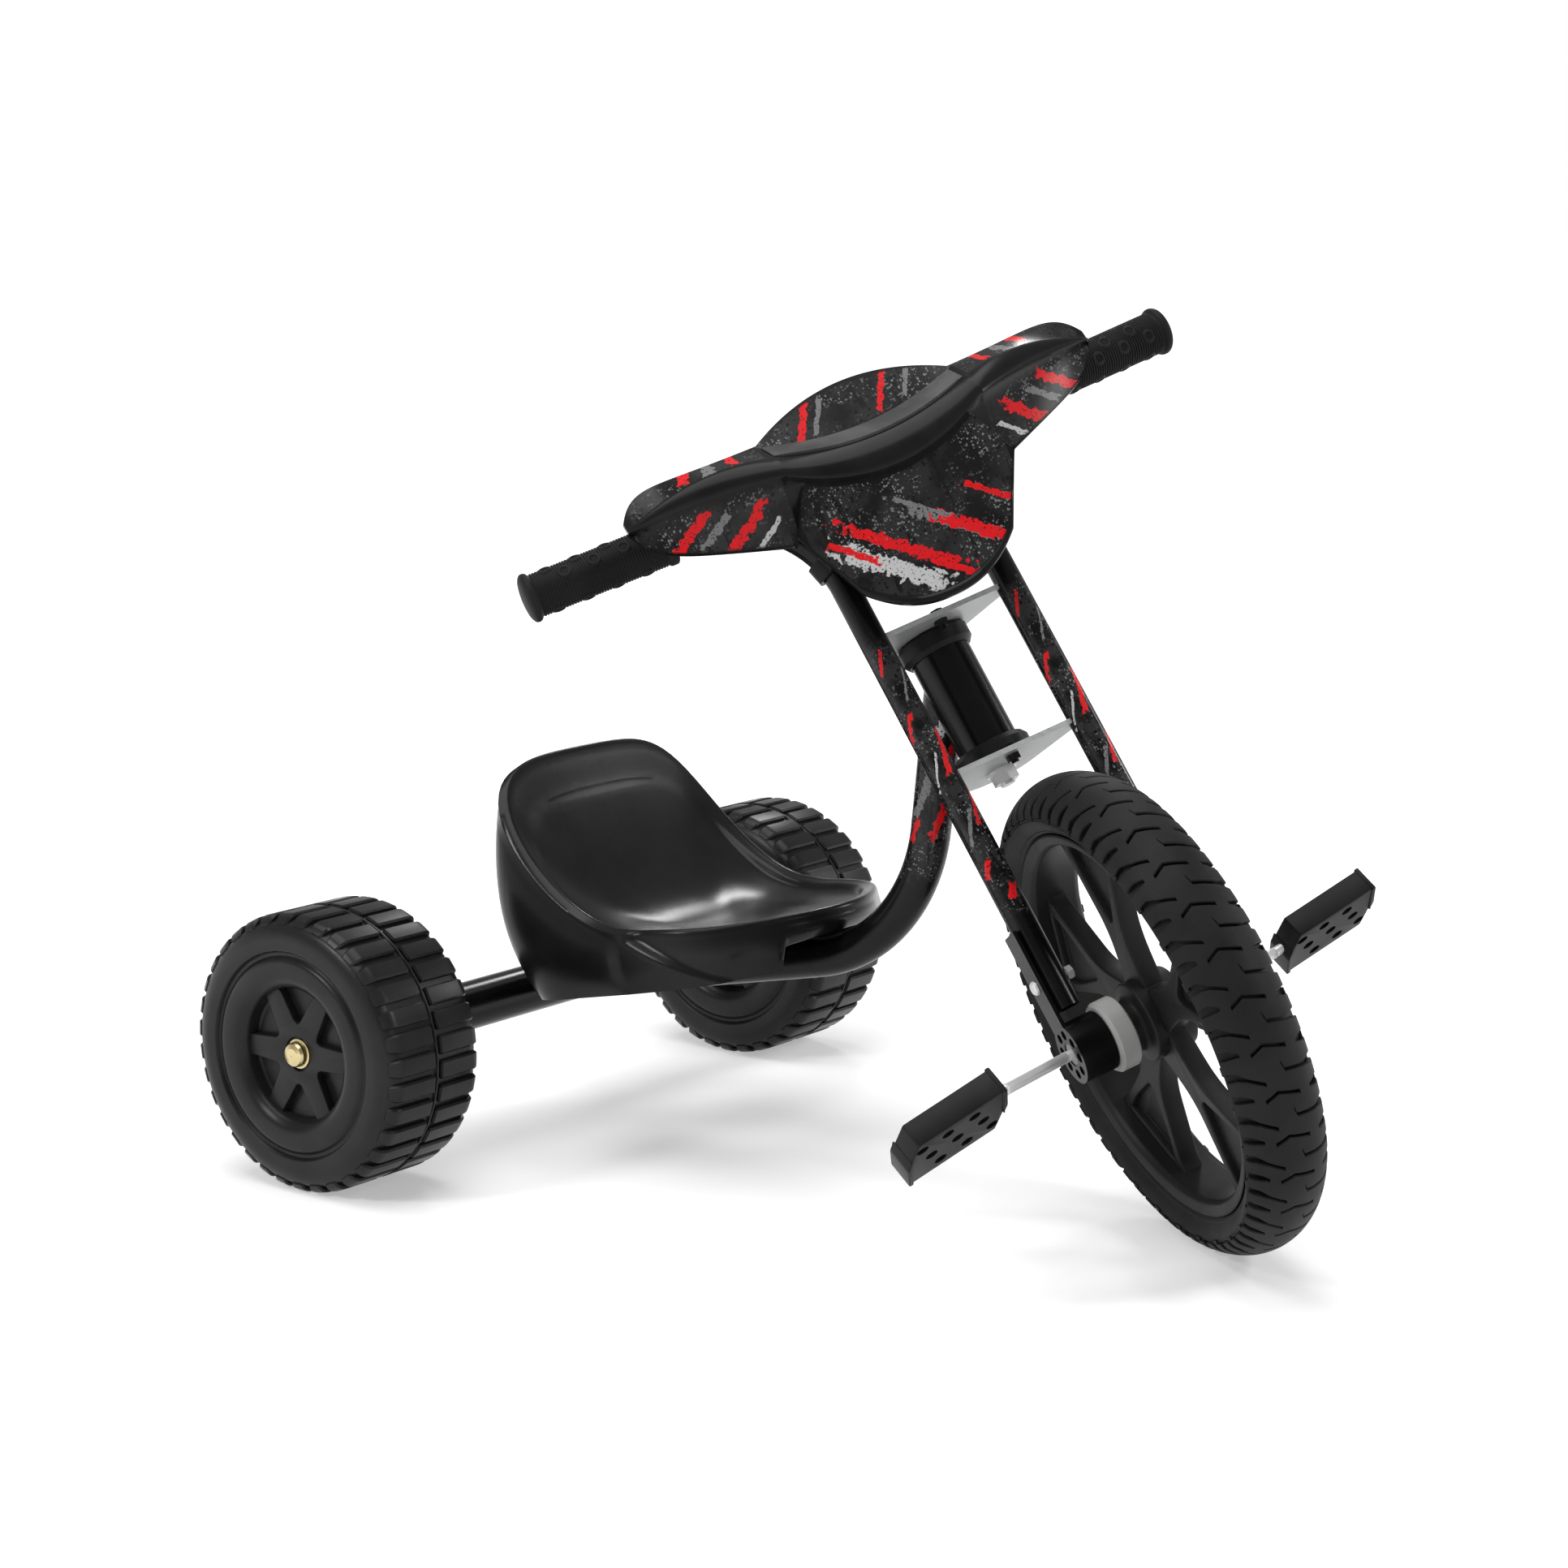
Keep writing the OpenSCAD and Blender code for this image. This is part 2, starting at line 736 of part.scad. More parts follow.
module steering_bolt() {
  color(steel)
    front()
      union() {
        translate([0, 0, plate_dn - 13])
          cylinder(d = bolt_d, h = plate_up + plate_t - plate_dn + 15);
        translate([0, 0, plate_up + plate_t + 0.02])
          cylinder(d = steer_hex, h = 7.5, $fn = 6);
      }
}

module steering_nut() {
  color(steel)
    front()
      translate([0, 0, plate_dn - 10.6])
        difference() {
          union() {
            cylinder(d = steer_hex, h = 10.55, $fn = 6);
            translate([0, 0, 8.6])
              cylinder(d = 25, h = 1.95);
          }
          translate([0, 0, -1])
            cylinder(d = bolt_d, h = 14);
        }
}

// Small bolts ahead of the steering bolt on both plates
module stop_bolt() {
  color(black_steel)
    front()
      for (z = [plate_dn, plate_up])
        translate([stop_x, 0, z])
          union() {
            translate([0, 0, -7])
              cylinder(d = small_d, h = plate_t + 9);
            translate([0, 0, plate_t + 0.02])
              cylinder(d = small_nut, h = 4, $fn = 6);
            translate([0, 0, -5.02])
              cylinder(d = small_nut, h = 5, $fn = 6);
          }
}

// Shield: one moulded sheet over the bars, drawn as a profile that changes along its width.
// Its heights are drawn for bars at sheet_bar, and the sheet moves with the bars.

panel_k = 0.193;
ridge_half = 82;
wing_from = 85;
panel_turn = 64;
ridge_in = 72;
panel_half = 92;
sheet_bar = 305;
sheet_lift = bar_top - sheet_bar;
function wing_w(a) = clamp01((a - wing_from) / (shield_half - wing_from));
function dip(a) = pow(min(a, ridge_half) / ridge_half, 2);
function edge_t(a) = a <= ridge_half ? [90.6 + dip(a), 355 - 22 * dip(a)]
  : let (w = wing_w(a)) [91.6 - 26 * w + 15 * w * w, 333 + 10 * w - w * w - 26.5 * pow(w, 6)];
function edge_k(a) = a <= ridge_half ? [95.4 - 2 * dip(a), 314 + 16 * dip(a)]
  : let (w = wing_w(a)) mix(edge_a(a), edge_t(a), 0.92 - 0.42 * w);
function edge_a(a) = a <= ridge_half ? [115.4 - dip(a), 297.7 + 15.7 * dip(a)]
  : let (w = wing_w(a)) [114.4 - 32.4 * pow(w, 1.3), 313.4 + 36 * w * (1 - w)];
function edge_b(a) = a <= ridge_half ? [118.7 + 4.5 * dip(a), 270 + 23 * dip(a)]
  : let (w = wing_w(a)) [123.2 - 41.2 * pow(w, 1.1), 293 + 18.5 * w + 12 * w * (1 - w)];
function panel_g(u) = 93.8 + panel_k * (u - 167);
function foot_u(a) = a < panel_turn ? panel_low + 27 * pow(a / panel_turn, 2.3)
  : a < panel_half ? panel_low + 27 + (a - panel_turn) * (223 - panel_low) / (panel_half - panel_turn)
  : let (w = wing_w(a)) 246.9 + 50 * w + 12.9 * pow(w, 8);
function foot_g(a) = let (w = wing_w(a)) 93.4 - 22 * w + 9.8 * w * w;
function step_u(a) = a < ridge_in ? edge_b(a)[1] - 5
  : max(foot_u(a) + 0.8 - 0.4 * wing_w(a), edge_b(a)[1] - 5 - (a - ridge_in) * 2.3);
function wing_at(a, u) = let (b = edge_b(a))
  let (t = clamp01((b[1] - u) / max(1, b[1] - foot_u(max(a, panel_half)))))
  mix(b[0] - 4, foot_g(a), pow(t, 0.8));

// Points of the profile at one place across the width, from the top edge to the lower edge
function sheet_profile(y) =
  let (a = min(abs(y), shield_half))
  let (t = edge_t(a), k = edge_k(a), f = edge_a(a), b = edge_b(a))
  let (v = wing_w(a))
  let (c = [b[0] - 4 + 3.6 * v, b[1] - 1.4 + 1.1 * v])
  let (su = step_u(a), fu = foot_u(a))
  let (wu = su + 0.6 - 0.3 * v)
  let (w = [a < ridge_in ? panel_g(wu) : wing_at(a, wu), wu])
  let (s = [a > panel_half ? wing_at(a, su) : panel_g(su), su])
  let (d = [a > panel_half ? foot_g(a) : panel_g(fu), fu])
  concat([for (q = [0, 0.5]) mix(t, k, q)], [for (q = [0, 0.5]) mix(k, f, q)],
    [f, mix(f, b, 0.12), mix(f, b, 0.5), mix(f, b, 0.88), b, c],
    [for (q = [0.33, 0.66]) [a < ridge_in ? panel_g(mix(c[1], w[1], q)) : wing_at(a, mix(c[1], w[1], q)),
      mix(c[1], w[1], q)]],
    [w, s], [for (q = [0.33, 0.66]) [a > panel_half ? wing_at(a, mix(su, fu, q)) : panel_g(mix(su, fu, q)),
      mix(su, fu, q)]], [d]);

// Places across the width: the panel half, then shares of the way along a wing
wing_start = panel_half + 0.1;
wing_shares = [0, 0.037, 0.094, 0.17, 0.265, 0.36, 0.455, 0.55, 0.645, 0.74, 0.825, 0.9, 0.953, 0.987, 1];
function sheet_stations() =
  let (inner = concat([for (i = [0 : 12]) i * ridge_in / 12], [78, ridge_half, 84, 88, panel_half - 0.1]))
  let (half = concat(inner, [for (q = wing_shares) mix(wing_start, shield_half, q)]))
  concat([for (i = [len(half) - 1 : -1 : 1]) -half[i]], half);

module sheet(stations, wall) {
  ring_skin([for (y = stations)
    let (p = sheet_profile(y), m = len(p))
    concat([for (q = p) [q[0], y, q[1]]],
      [for (j = [m - 1 : -1 : 0]) [p[j][0] - wall, y, p[j][1]]])]);
}

module shield() {
  color(black_plastic)
    front()
      translate([0, 0, sheet_lift])
        sheet(sheet_stations(), shield_t);
}

// Grained strip on top of the dipped crossbar
module shield_pad() {
  color(rubber)
    front()
      translate([0, 0, sheet_lift])
        ring_skin([for (y = [-80 : 8 : 80])
          let (a = abs(y))
          let (k = edge_k(a), f = edge_a(a))
          let (up = [0.62, 0.78])
          let (p = mix(k, f, 0.04) + 0.05 * up, q = mix(k, f, 0.97) + 0.05 * up)
          let (h = 2.2 * sqrt(1 - pow(a / 81.5, 8)))
          [[p[0], y, p[1]], [p[0] + h * up[0], y, p[1] + h * up[1]],
            [mix(p[0], q[0], 0.5) + 1.25 * h * up[0], y, mix(p[1], q[1], 0.5) + 1.25 * h * up[1]],
            [q[0] + h * up[0], y, q[1] + h * up[1]], [q[0], y, q[1]],
            [mix(p[0], q[0], 0.5), y, mix(p[1], q[1], 0.5)]]]);
}

// Clip that holds the shield: a collar on the bend of the tube at the angle al and an arm ahead to the sheet
module clip(s, al, reach) {
  difference() {
    front()
      translate([leg_offset, s * leg_y, 0])
        rotate([0, 0, s > 0 ? 90 + bar_sweep : -90 - bar_sweep])
          translate([bar_bend * (1 - cos(al)), 0, bar_start + bar_bend * sin(al)])
            rotate([0, al, 0]) {
              translate([0, 0, -7])
                cylinder(d = tube_d + 7, h = 14);
              translate([-7, s > 0 ? -reach : 8, -7])
                cube([14, reach - 8, 14]);
            }
    fork_run(s, tube_d, 0);
  }
}

// Places where the clips sit along the bend, and how far the sheet is ahead of the tube there
bar_clip_at = 62;
leg_clip_at = 14;
function clip_y(al) = leg_y + bar_bend * (1 - cos(al)) * cos(bar_sweep);
function clip_x(al) = leg_offset - bar_bend * (1 - cos(al)) * sin(bar_sweep);
function clip_u(al) = sheet_bar - bar_bend + bar_bend * sin(al);

module bar_clips() {
  reach = wing_at(clip_y(bar_clip_at) + 3, clip_u(bar_clip_at) - 9) - shield_t - clip_x(bar_clip_at) + 0.6;
  color(black_plastic)
    for (s = [-1, 1])
      clip(s, bar_clip_at, reach);
}

module leg_clips() {
  reach = panel_g(clip_u(leg_clip_at) - 8) - shield_t - clip_x(leg_clip_at) + 0.2;
  color(black_plastic)
    for (s = [-1, 1])
      clip(s, leg_clip_at, reach);
}

// Fork end: strip bolted to the leg, ribbed round face and bearing housing
module fork_bracket(s) {
  color(black_plastic)
    front()
      translate([leg_offset, 0, wheel_u])
        difference() {
          union() {
            translate([-bracket_w / 2, s > 0 ? outer_y + 0.02 : -face_y, 0])
              cube([bracket_w, bracket_t - 0.02, bracket_l]);
            rotate([-90 * s, 0, 0])
              translate([0, 0, house_in])
                cylinder(d = house_d, h = face_y - house_in);
          }
          rotate([-90 * s, 0, 0])
            translate([0, 0, 20])
              cylinder(d = bush_d, h = 80);
          for (i = [0 : 7])
            rotate([-90 * s, 0, 0])
              rotate([0, 0, i * 45 + 22.5])
                translate([15.5, 0, face_y - 1.5])
                  cylinder(d = 7.5, h = 4);
          translate([0, s * outer_y, bracket_bolt_z])
            rotate([90, 0, 0])
              cylinder(d = small_hole, h = 20, center = true);
        }
}

module fork_bracket_right() {
  fork_bracket(-1);
}

module fork_bracket_left() {
  fork_bracket(1);
}

// Plain bearings pressed into the fork ends
module axle_bushes() {
  color(nylon)
    for (s = [-1, 1])
      front()
        translate([leg_offset, 0, wheel_u])
          rotate([-90 * s, 0, 0])
            translate([0, 0, house_in])
              difference() {
                cylinder(d = bush_d, h = face_y - house_in - 1);
                translate([0, 0, -1])
                  cylinder(d = rod_d + turn_gap, h = 80);
              }
}

module bracket_bolts() {
  color(steel)
    for (s = [-1, 1])
      front()
        translate([leg_offset, s * face_y, wheel_u + bracket_bolt_z])
          rotate([-90 * s, 0, 0])
            union() {
              translate([0, 0, -(tube_d + 9)])
                cylinder(d = small_d, h = tube_d + 11);
              rotate_extrude()
                polygon([[0, 0.02], [5.6, 0.02], [5.4, 1.6], [4, 3.1], [0, 3.6]]);
            }
}

module bracket_nuts() {
  color(zinc)
    for (s = [-1, 1])
      front()
        translate([leg_offset, s * (leg_y - tube_d / 2 - 0.05), wheel_u + bracket_bolt_z])
          rotate([90 * s, 0, 0])
            difference() {
              cylinder(d = small_nut, h = 5, $fn = 6);
              translate([0, 0, -1])
                cylinder(d = small_d, h = 10);
            }
}

// Front wheel

module tyre() {
  h = tyre_w / 2;
  base = front_r - lug_h;
  bead = rim_d / 2 - 1;
  color(rubber)
    wheel()
      difference() {
        tyre_blank(h, base, bead);
        rotate_extrude()
          polygon(concat([[bead - 8, -12]], carcass(h, base, bead), [[bead - 8, 12]]));
      }
}

// Space inside the tyre from one bead over the crown to the other
function carcass(h, base, bead) = [
  [bead - 3.8, -12], [bead + 3, -16], [bead + 11, -h + 10], [bead + 18, -h + 7],
  [base - 10, -h + 12], [base - 5, -10], [base - 4.6, 0], [base - 5, 10], [base - 10, h - 12],
  [bead + 18, h - 7], [bead + 11, h - 10], [bead + 3, 16], [bead - 3.8, 12]];

// Tyre with its lugs before the inside is taken out
module tyre_blank(h, base, bead) {
  rotate_extrude()
    polygon(concat(
      [[bead - 4, -17], [bead + 2, -22.4], [bead + 10, -h + 5], [bead + 18, -h + 2]],
      [for (i = [0 : 12])
        let (y = -h + 4 + i * (tyre_w - 8) / 12)
        [base - crown_r + sqrt(crown_r * crown_r - y * y), y]],
      [[bead + 18, h - 2], [bead + 10, h - 5], [bead + 2, 22.4], [bead - 4, 17]]));
  for (s = [-1, 1])
    intersection() {
      rotate_extrude()
        polygon(concat(
          [for (i = [0 : 6])
            let (y = s * (12 + i * (h - 13) / 6))
            [front_r - crown_r + sqrt(crown_r * crown_r - y * y), y]],
          [[base - 16, s * h], [base - 18, s * (h - 3)], [base - 10, s * 12]]));
      translate([0, 0, -h])
        linear_extrude(2 * h)
          teeth(2 * tyre_lugs, base - 30, front_r + 6, 0.62, s * 45 / tyre_lugs);
    }
  intersection() {
    rotate_extrude()
      polygon(concat(
        [for (i = [-3 : 3])
          let (y = i * 3.4)
          [front_r - crown_r + sqrt(crown_r * crown_r - y * y), y]],
        [[base - 6, 10.2], [base - 6, -10.2]]));
    translate([0, 0, -h])
      linear_extrude(2 * h)
        teeth(tyre_lugs, base - 30, front_r + 6, 0.7, 0);
  }
}

// Inner tube that fills the tyre, with its valve through the rim
module inner_tube() {
  h = tyre_w / 2;
  base = front_r - lug_h;
  bead = rim_d / 2 - 1;
  mid = (base + bead) / 2 - 3;
  pts = carcass(h, base, bead);
  color(rubber)
    wheel()
      difference() {
        union() {
          rotate_extrude()
            polygon([for (q = pts) [mid + (q[0] - mid) * 0.985, q[1] * 0.985]]);
          rotate([0, 0, valve_at])
            translate([bead - 30, 0, 0])
              rotate([0, 90, 0])
                cylinder(d = 7, h = 30);
        }
        rotate_extrude()
          polygon([for (q = pts) [mid + (q[0] - mid) * 0.88, q[1] * 0.9]]);
        rotate([0, 0, valve_at])
          translate([bead - 40, 0, 0])
            rotate([0, 90, 0])
              cylinder(d = 2.4, h = 50);
      }
}

// One Y shaped spoke with its pocket, drawn flat along +X
module spoke_outline(r_in, r_out) {
  polygon([[r_in - 6, -18], [r_in + 12, -15], [r_in + 30, -13.5], [r_in + 46, -16], [r_out - 30, -31],
    [r_out - 10, -40], [r_out + 2, -50], [r_out + 2, 50], [r_out - 10, 40], [r_out - 30, 31],
    [r_in + 46, 16], [r_in + 30, 13.5], [r_in + 12, 15], [r_in - 6, 18]]);
}

module spoke_pocket(r_in, r_out) {
  polygon([[r_in + 54, -3], [r_out - 24, -17], [r_out - 6, -24], [r_out - 6, 24], [r_out - 24, 17],
    [r_in + 54, 3]]);
}

module rim() {
  r = rim_d / 2;
  inner = r - rim_deep;
  color(black_plastic)
    wheel()
      difference() {
        union() {
          rotate_extrude()
            polygon([[inner, -17], [inner + 3, -21.5], [r, -24], [r, -22.5], [r - 5.1, -17.1],
              [r - 5.1, 17.1], [r, 22.5], [r, 24], [inner + 3, 21.5], [inner, 17]]);
          translate([0, 0, -hub_w / 2])
            cylinder(d = hub_d, h = hub_w);
          translate([0, 0, -neck_half])
            cylinder(d = neck_d, h = 2 * neck_half);
          intersection() {
            for (i = [0 : rim_spokes - 1])
              rotate([0, 0, i * 360 / rim_spokes + spoke_turn])
                translate([0, 0, -spoke_t / 2])
                  linear_extrude(spoke_t)
                    spoke_outline(hub_d / 2, inner);
            cylinder(r = inner + 2, h = 60, center = true);
          }
        }
        for (i = [0 : rim_spokes - 1])
          rotate([0, 0, i * 360 / rim_spokes + spoke_turn])
            for (z = [web_t / 2, -web_t / 2 - spoke_t])
              translate([0, 0, z])
                linear_extrude(spoke_t)
                  spoke_pocket(hub_d / 2, inner);
        cylinder(d = rod_d, h = 100, center = true);
        rotate([0, 0, valve_at])
          translate([inner - 6, 0, 0])
            rotate([0, 90, 0])
              cylinder(d = 7.6, h = 20);
      }
}

// Grey nylon rings between the hub and the fork ends
module hub_ring(s) {
  color(nylon)
    wheel()
      rotate([s > 0 ? 0 : 180, 0, 0])
        rotate_extrude()
          polygon([[rod_d / 2, ring_in], [ring_d / 2 - 1.5, ring_in], [ring_d / 2, ring_in + 1.5],
            [ring_d / 2, house_in - 3], [ring_d / 2 - 2, house_in - 0.5], [rod_d / 2, house_in - 0.5]]);
}

module hub_ring_right() {
  hub_ring(-1);
}

module hub_ring_left() {
  hub_ring(1);
}

// One bent rod: axle through the hub, a splayed crank to each side and the two pedal spindles
module rod_piece(a, b) {
  v = b - a;
  l = norm(v);
  translate(a)
    rotate([0, acos(v[2] / l), atan2(v[1], v[0])])
      cylinder(d = rod_d, h = l);
}

// Point on the spindle of one side at the distance t from the middle of the wheel
function spin_at(s, t) = -s * crank_r * arm_dir + [0, s * spin_mid + crank_shift, 0]
  + s * (t - spin_mid) * spin_dir;

module crank_axle() {
  color(steel)
    front()
      translate([leg_offset, 0, wheel_u])
        union() {
          rod_piece([0, -face_y - 5, 0], [0, face_y + 5, 0]);
          for (s = [-1, 1]) {
            knee = [0, s * (face_y + 5), 0];
            wrist = spin_at(s, pedal_in - 6);
            tip = spin_at(s, pedal_in + pedal_l - 10);
            translate(knee)
              sphere(d = rod_d + 0.5);
            rod_piece(knee, wrist);
            translate(wrist)
              sphere(d = rod_d + 0.5);
            rod_piece(wrist, tip);
          }
        }
}

// Block pedal about its middle with two opposite corners blunted and open slots through its tread
module pedal_body(s) {
  w = pedal_w / 2;
  l = pedal_l / 2;
  lip = 3;
  difference() {
    translate([0, 0, -pedal_t / 2])
      linear_extrude(pedal_t)
        polygon([[w, l], [-w + pedal_blunt[0], l], [-w, l - pedal_blunt[1]],
          [-w, -l], [w - pedal_blunt[0], -l], [w, -l + pedal_blunt[1]]]);
    translate([0, s > 0 ? -l - 1 : -l + 9, 0])
      rotate([-90, 0, 0])
        cylinder(d = rod_d + turn_gap, h = pedal_l - 8);
    for (k = [-1, 1], i = [-1.5 : 1.5])
      translate([k * w * 0.55, i * pedal_l * 0.17 - k * 4, 0])
        cube([8, 7, pedal_t + 2], center = true);
    for (k = [-1, 1])
      translate([k * w, k * pedal_blunt[1] / 2, 0])
        cube([2, pedal_l - pedal_blunt[1] - 2 * lip, pedal_t + 2], center = true);
  }
}

module pedal(s) {
  color(black_plastic)
    front()
      translate(spin_at(s, spin_mid) + [leg_offset, 0, wheel_u])
        rotate(a = spindle_tilt, v = arm_dir)
          rotate([0, pedal_turn, 0])
            pedal_body(s);
}

module pedal_right() {
  pedal(-1);
}

module pedal_left() {
  pedal(1);
}

main_tube();
head_tube();
cross_tube();
axle_rod();
axle_plugs();
axle_washers();
axle_caps();
seat();
seat_bracket_front();
seat_bracket_rear();
seat_bolts();
seat_nuts();
head_cap_upper();
head_cap_lower();
rear_wheel_right();
rear_wheel_left();
fork_tube_right();
fork_tube_left();
bridge_plate_upper();
bridge_plate_lower();
steering_bolt();
steering_nut();
stop_bolt();
grip_right();
grip_left();
shield();
shield_pad();
bar_clips();
leg_clips();
fork_bracket_right();
fork_bracket_left();
axle_bushes();
bracket_bolts();
bracket_nuts();
tyre();
inner_tube();
rim();
hub_ring_right();
hub_ring_left();
crank_axle();
pedal_right();
pedal_left();
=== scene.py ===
"""Looks of a low rider tricycle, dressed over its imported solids.

The frame is the part's own: x forward, y to the rider's left, z up from the floor under the rear axle.
Sizes in the classes are millimetres and degrees, as in the part's source. Every mesh is scaled to metres
when it is made, and its place is in its vertices.
"""

import json
import logging
import math
from collections.abc import Callable, Sequence
from dataclasses import dataclass, replace
from enum import Enum

import bmesh
import bpy
from mathutils import Matrix, Vector

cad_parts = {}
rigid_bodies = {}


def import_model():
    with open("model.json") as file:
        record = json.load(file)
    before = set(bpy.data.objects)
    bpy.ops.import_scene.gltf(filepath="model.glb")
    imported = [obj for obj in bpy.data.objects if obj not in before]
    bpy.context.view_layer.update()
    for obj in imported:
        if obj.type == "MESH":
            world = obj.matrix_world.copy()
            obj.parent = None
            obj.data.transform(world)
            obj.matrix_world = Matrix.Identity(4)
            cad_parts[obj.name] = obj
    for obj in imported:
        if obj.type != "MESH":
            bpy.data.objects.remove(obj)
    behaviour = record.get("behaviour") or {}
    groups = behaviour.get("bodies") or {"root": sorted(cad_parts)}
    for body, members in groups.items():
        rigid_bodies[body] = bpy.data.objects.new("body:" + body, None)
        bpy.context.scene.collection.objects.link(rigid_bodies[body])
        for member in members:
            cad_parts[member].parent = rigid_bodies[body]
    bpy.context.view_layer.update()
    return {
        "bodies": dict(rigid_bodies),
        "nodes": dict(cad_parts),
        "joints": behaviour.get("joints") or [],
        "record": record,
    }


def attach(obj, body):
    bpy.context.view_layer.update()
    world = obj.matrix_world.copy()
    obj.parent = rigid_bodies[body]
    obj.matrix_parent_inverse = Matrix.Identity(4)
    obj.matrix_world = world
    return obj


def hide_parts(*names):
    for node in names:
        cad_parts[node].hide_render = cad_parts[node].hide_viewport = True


LOG = logging.getLogger("tricycle")
MM = 0.001
METRES = Matrix.Scale(MM, 4)
# Radius of the tyre's crown as a share of the tyre's width
CROWN_SHARE = 0.56
# Patches of gloss and of shade per metre, the same in every finish
GLOSS_PATCHES = 14.0
SHADE_PATCHES = 22.0

Piece = bpy.types.Object
Material = bpy.types.Material
Socket = bpy.types.NodeSocket
Colour = tuple[float, float, float]
Flat = tuple[float, float]
Point = tuple[float, float, float]
Corner = tuple[float, float, float]
Shape = tuple[list[Point], list[tuple[int, ...]]]


class Side(Enum):
    """The rider's right and left, with the sign of y on each."""

    RIGHT = -1
    LEFT = 1

    @property
    def word(self) -> str:
        """The side's name as it stands in node and body names."""
        return self.name.lower()


# Small shape helpers


def clamp01(value: float) -> float:
    """Limits a number to the range from 0 to 1."""
    return max(0.0, min(1.0, value))


def ease(value: float) -> float:
    """Smooth step from 0 to 1 with level ends."""
    held = clamp01(value)
    return held * held * (3 - 2 * held)


def mix(first: float, second: float, share: float) -> float:
    """Number between two others at the given share."""
    return first + (second - first) * share


def mix_flat(first: Flat, second: Flat, share: float) -> Flat:
    """Flat point between two others at the given share."""
    return (mix(first[0], second[0], share), mix(first[1], second[1], share))


def follow(stops: Sequence[Flat], at: float) -> float:
    """Value of a line through stops, each a place and a value, in rising order of place.

    Args:
        stops: Places and values.
        at: The place asked for.

    Returns:
        The value there, held at the ends.
    """
    if at <= stops[0][0]:
        return stops[0][1]
    for (low, first), (high, second) in zip(stops, stops[1:]):
        if at <= high:
            return mix(first, second, (at - low) / (high - low))
    return stops[-1][1]


def mirrored(half: Sequence[Corner]) -> list[Corner]:
    """Corners of half an outline, followed by their mirror images across the first axis."""
    return [*half, *((x, -y, reach) for x, y, reach in reversed(half))]


def rounded(corners: Sequence[Corner], steps: int = 4, closed: bool = True) -> list[Flat]:
    """Rounds the corners of a flat outline.

    Args:
        corners: Two coordinates of each corner and how far its rounding reaches along the edges.
        steps: Pieces in each rounding.
        closed: Whether the outline returns to its start.

    Returns:
        The points of the rounded outline.
    """
    points: list[Flat] = []
    count = len(corners)
    for i, (x, y, reach) in enumerate(corners):
        here = Vector((x, y))
        if reach <= 0 or (not closed and i in (0, count - 1)):
            points.append((x, y))
            continue
        before = Vector(corners[i - 1][:2]) - here
        after = Vector(corners[(i + 1) % count][:2]) - here
        cut = min(reach, before.length * 0.48, after.length * 0.48)
        start = here + before.normalized() * cut
        stop = here + after.normalized() * cut
        for k in range(steps + 1):
            share = k / steps
            on_arc = start.lerp(here, share).lerp(here.lerp(stop, share), share)
            points.append((on_arc.x, on_arc.y))
    return points


def circle(radius: float, steps: int = 48) -> list[Flat]:
    """Flat circle about the origin."""
    turns = [math.tau * i / steps for i in range(steps)]
    return [(radius * math.cos(turn), radius * math.sin(turn)) for turn in turns]


def skin(rings: Sequence[Sequence[Point]], wrap: bool = True, loop: bool = False) -> Shape:
    """Quads between neighbouring rings of points.

    Args:
        rings: Rings with the same count of points.
        wrap: Whether each ring is closed.
        loop: Whether the last ring joins the first. If not, the first and last rings are filled.

    Returns:
        Points and faces.
    """
    count = len(rings[0])
    points = [tuple(p) for ring in rings for p in ring]
    faces: list[tuple[int, ...]] = []
    for i in range(len(rings) if loop else len(rings) - 1):
        here = i * count
        there = ((i + 1) % len(rings)) * count
        for j in range(count if wrap else count - 1):
            k = (j + 1) % count
            faces.append((here + j, here + k, there + k, there + j))
    if not loop:
        faces.append(tuple(reversed(range(count))))
        faces.append(tuple(range((len(rings) - 1) * count, len(rings) * count)))
    return points, faces


def revolve(profile: Sequence[Flat], steps: int, closed: bool = True) -> Shape:
    """Turns a profile of radius and height about the z axis.

    Args:
        profile: Points of the profile.
        steps: Pieces round the axis.
        closed: Whether the profile is a loop.

    Returns:
        Points and faces.
    """
    turns = [math.tau * i / steps for i in range(steps)]
    rings = [[(r * math.cos(a), r * math.sin(a), z) for r, z in profile] for a in turns]
    return skin(rings, wrap=closed, loop=True)


def in_metres(place: Matrix) -> Matrix:
    """The same place with its shift in metres."""
    scaled = place.copy()
    scaled.translation = place.translation * MM
    return scaled


def turned(degrees: float, axis: str | Vector) -> Matrix:
    """Turn about one of the axes, or about a direction."""
    return Matrix.Rotation(math.radians(degrees), 4, axis)


def lifted(height: float) -> Matrix:
    """Shift along the z axis."""
    return Matrix.Translation((0.0, 0.0, height))


def put(name: str, data: bpy.types.ID) -> Piece:
    """Adds an object with the given data to the scene."""
    piece = bpy.data.objects.new(name, data)
    bpy.context.scene.collection.objects.link(piece)
    return piece


def make(name: str, shape: Shape, place: Matrix | None = None) -> Piece:
    """Makes a mesh object in metres out of a shape in millimetres.

    Args:
        name: Name of the object.
        shape: Points and faces.
        place: Where the shape goes, in millimetres.

    Returns:
        The object, at the origin.
    """
    mesh = bpy.data.meshes.new(name)
    mesh.from_pydata(shape[0], [], shape[1])
    mesh.transform(METRES @ (place or Matrix.Identity(4)))
    return put(name, mesh)


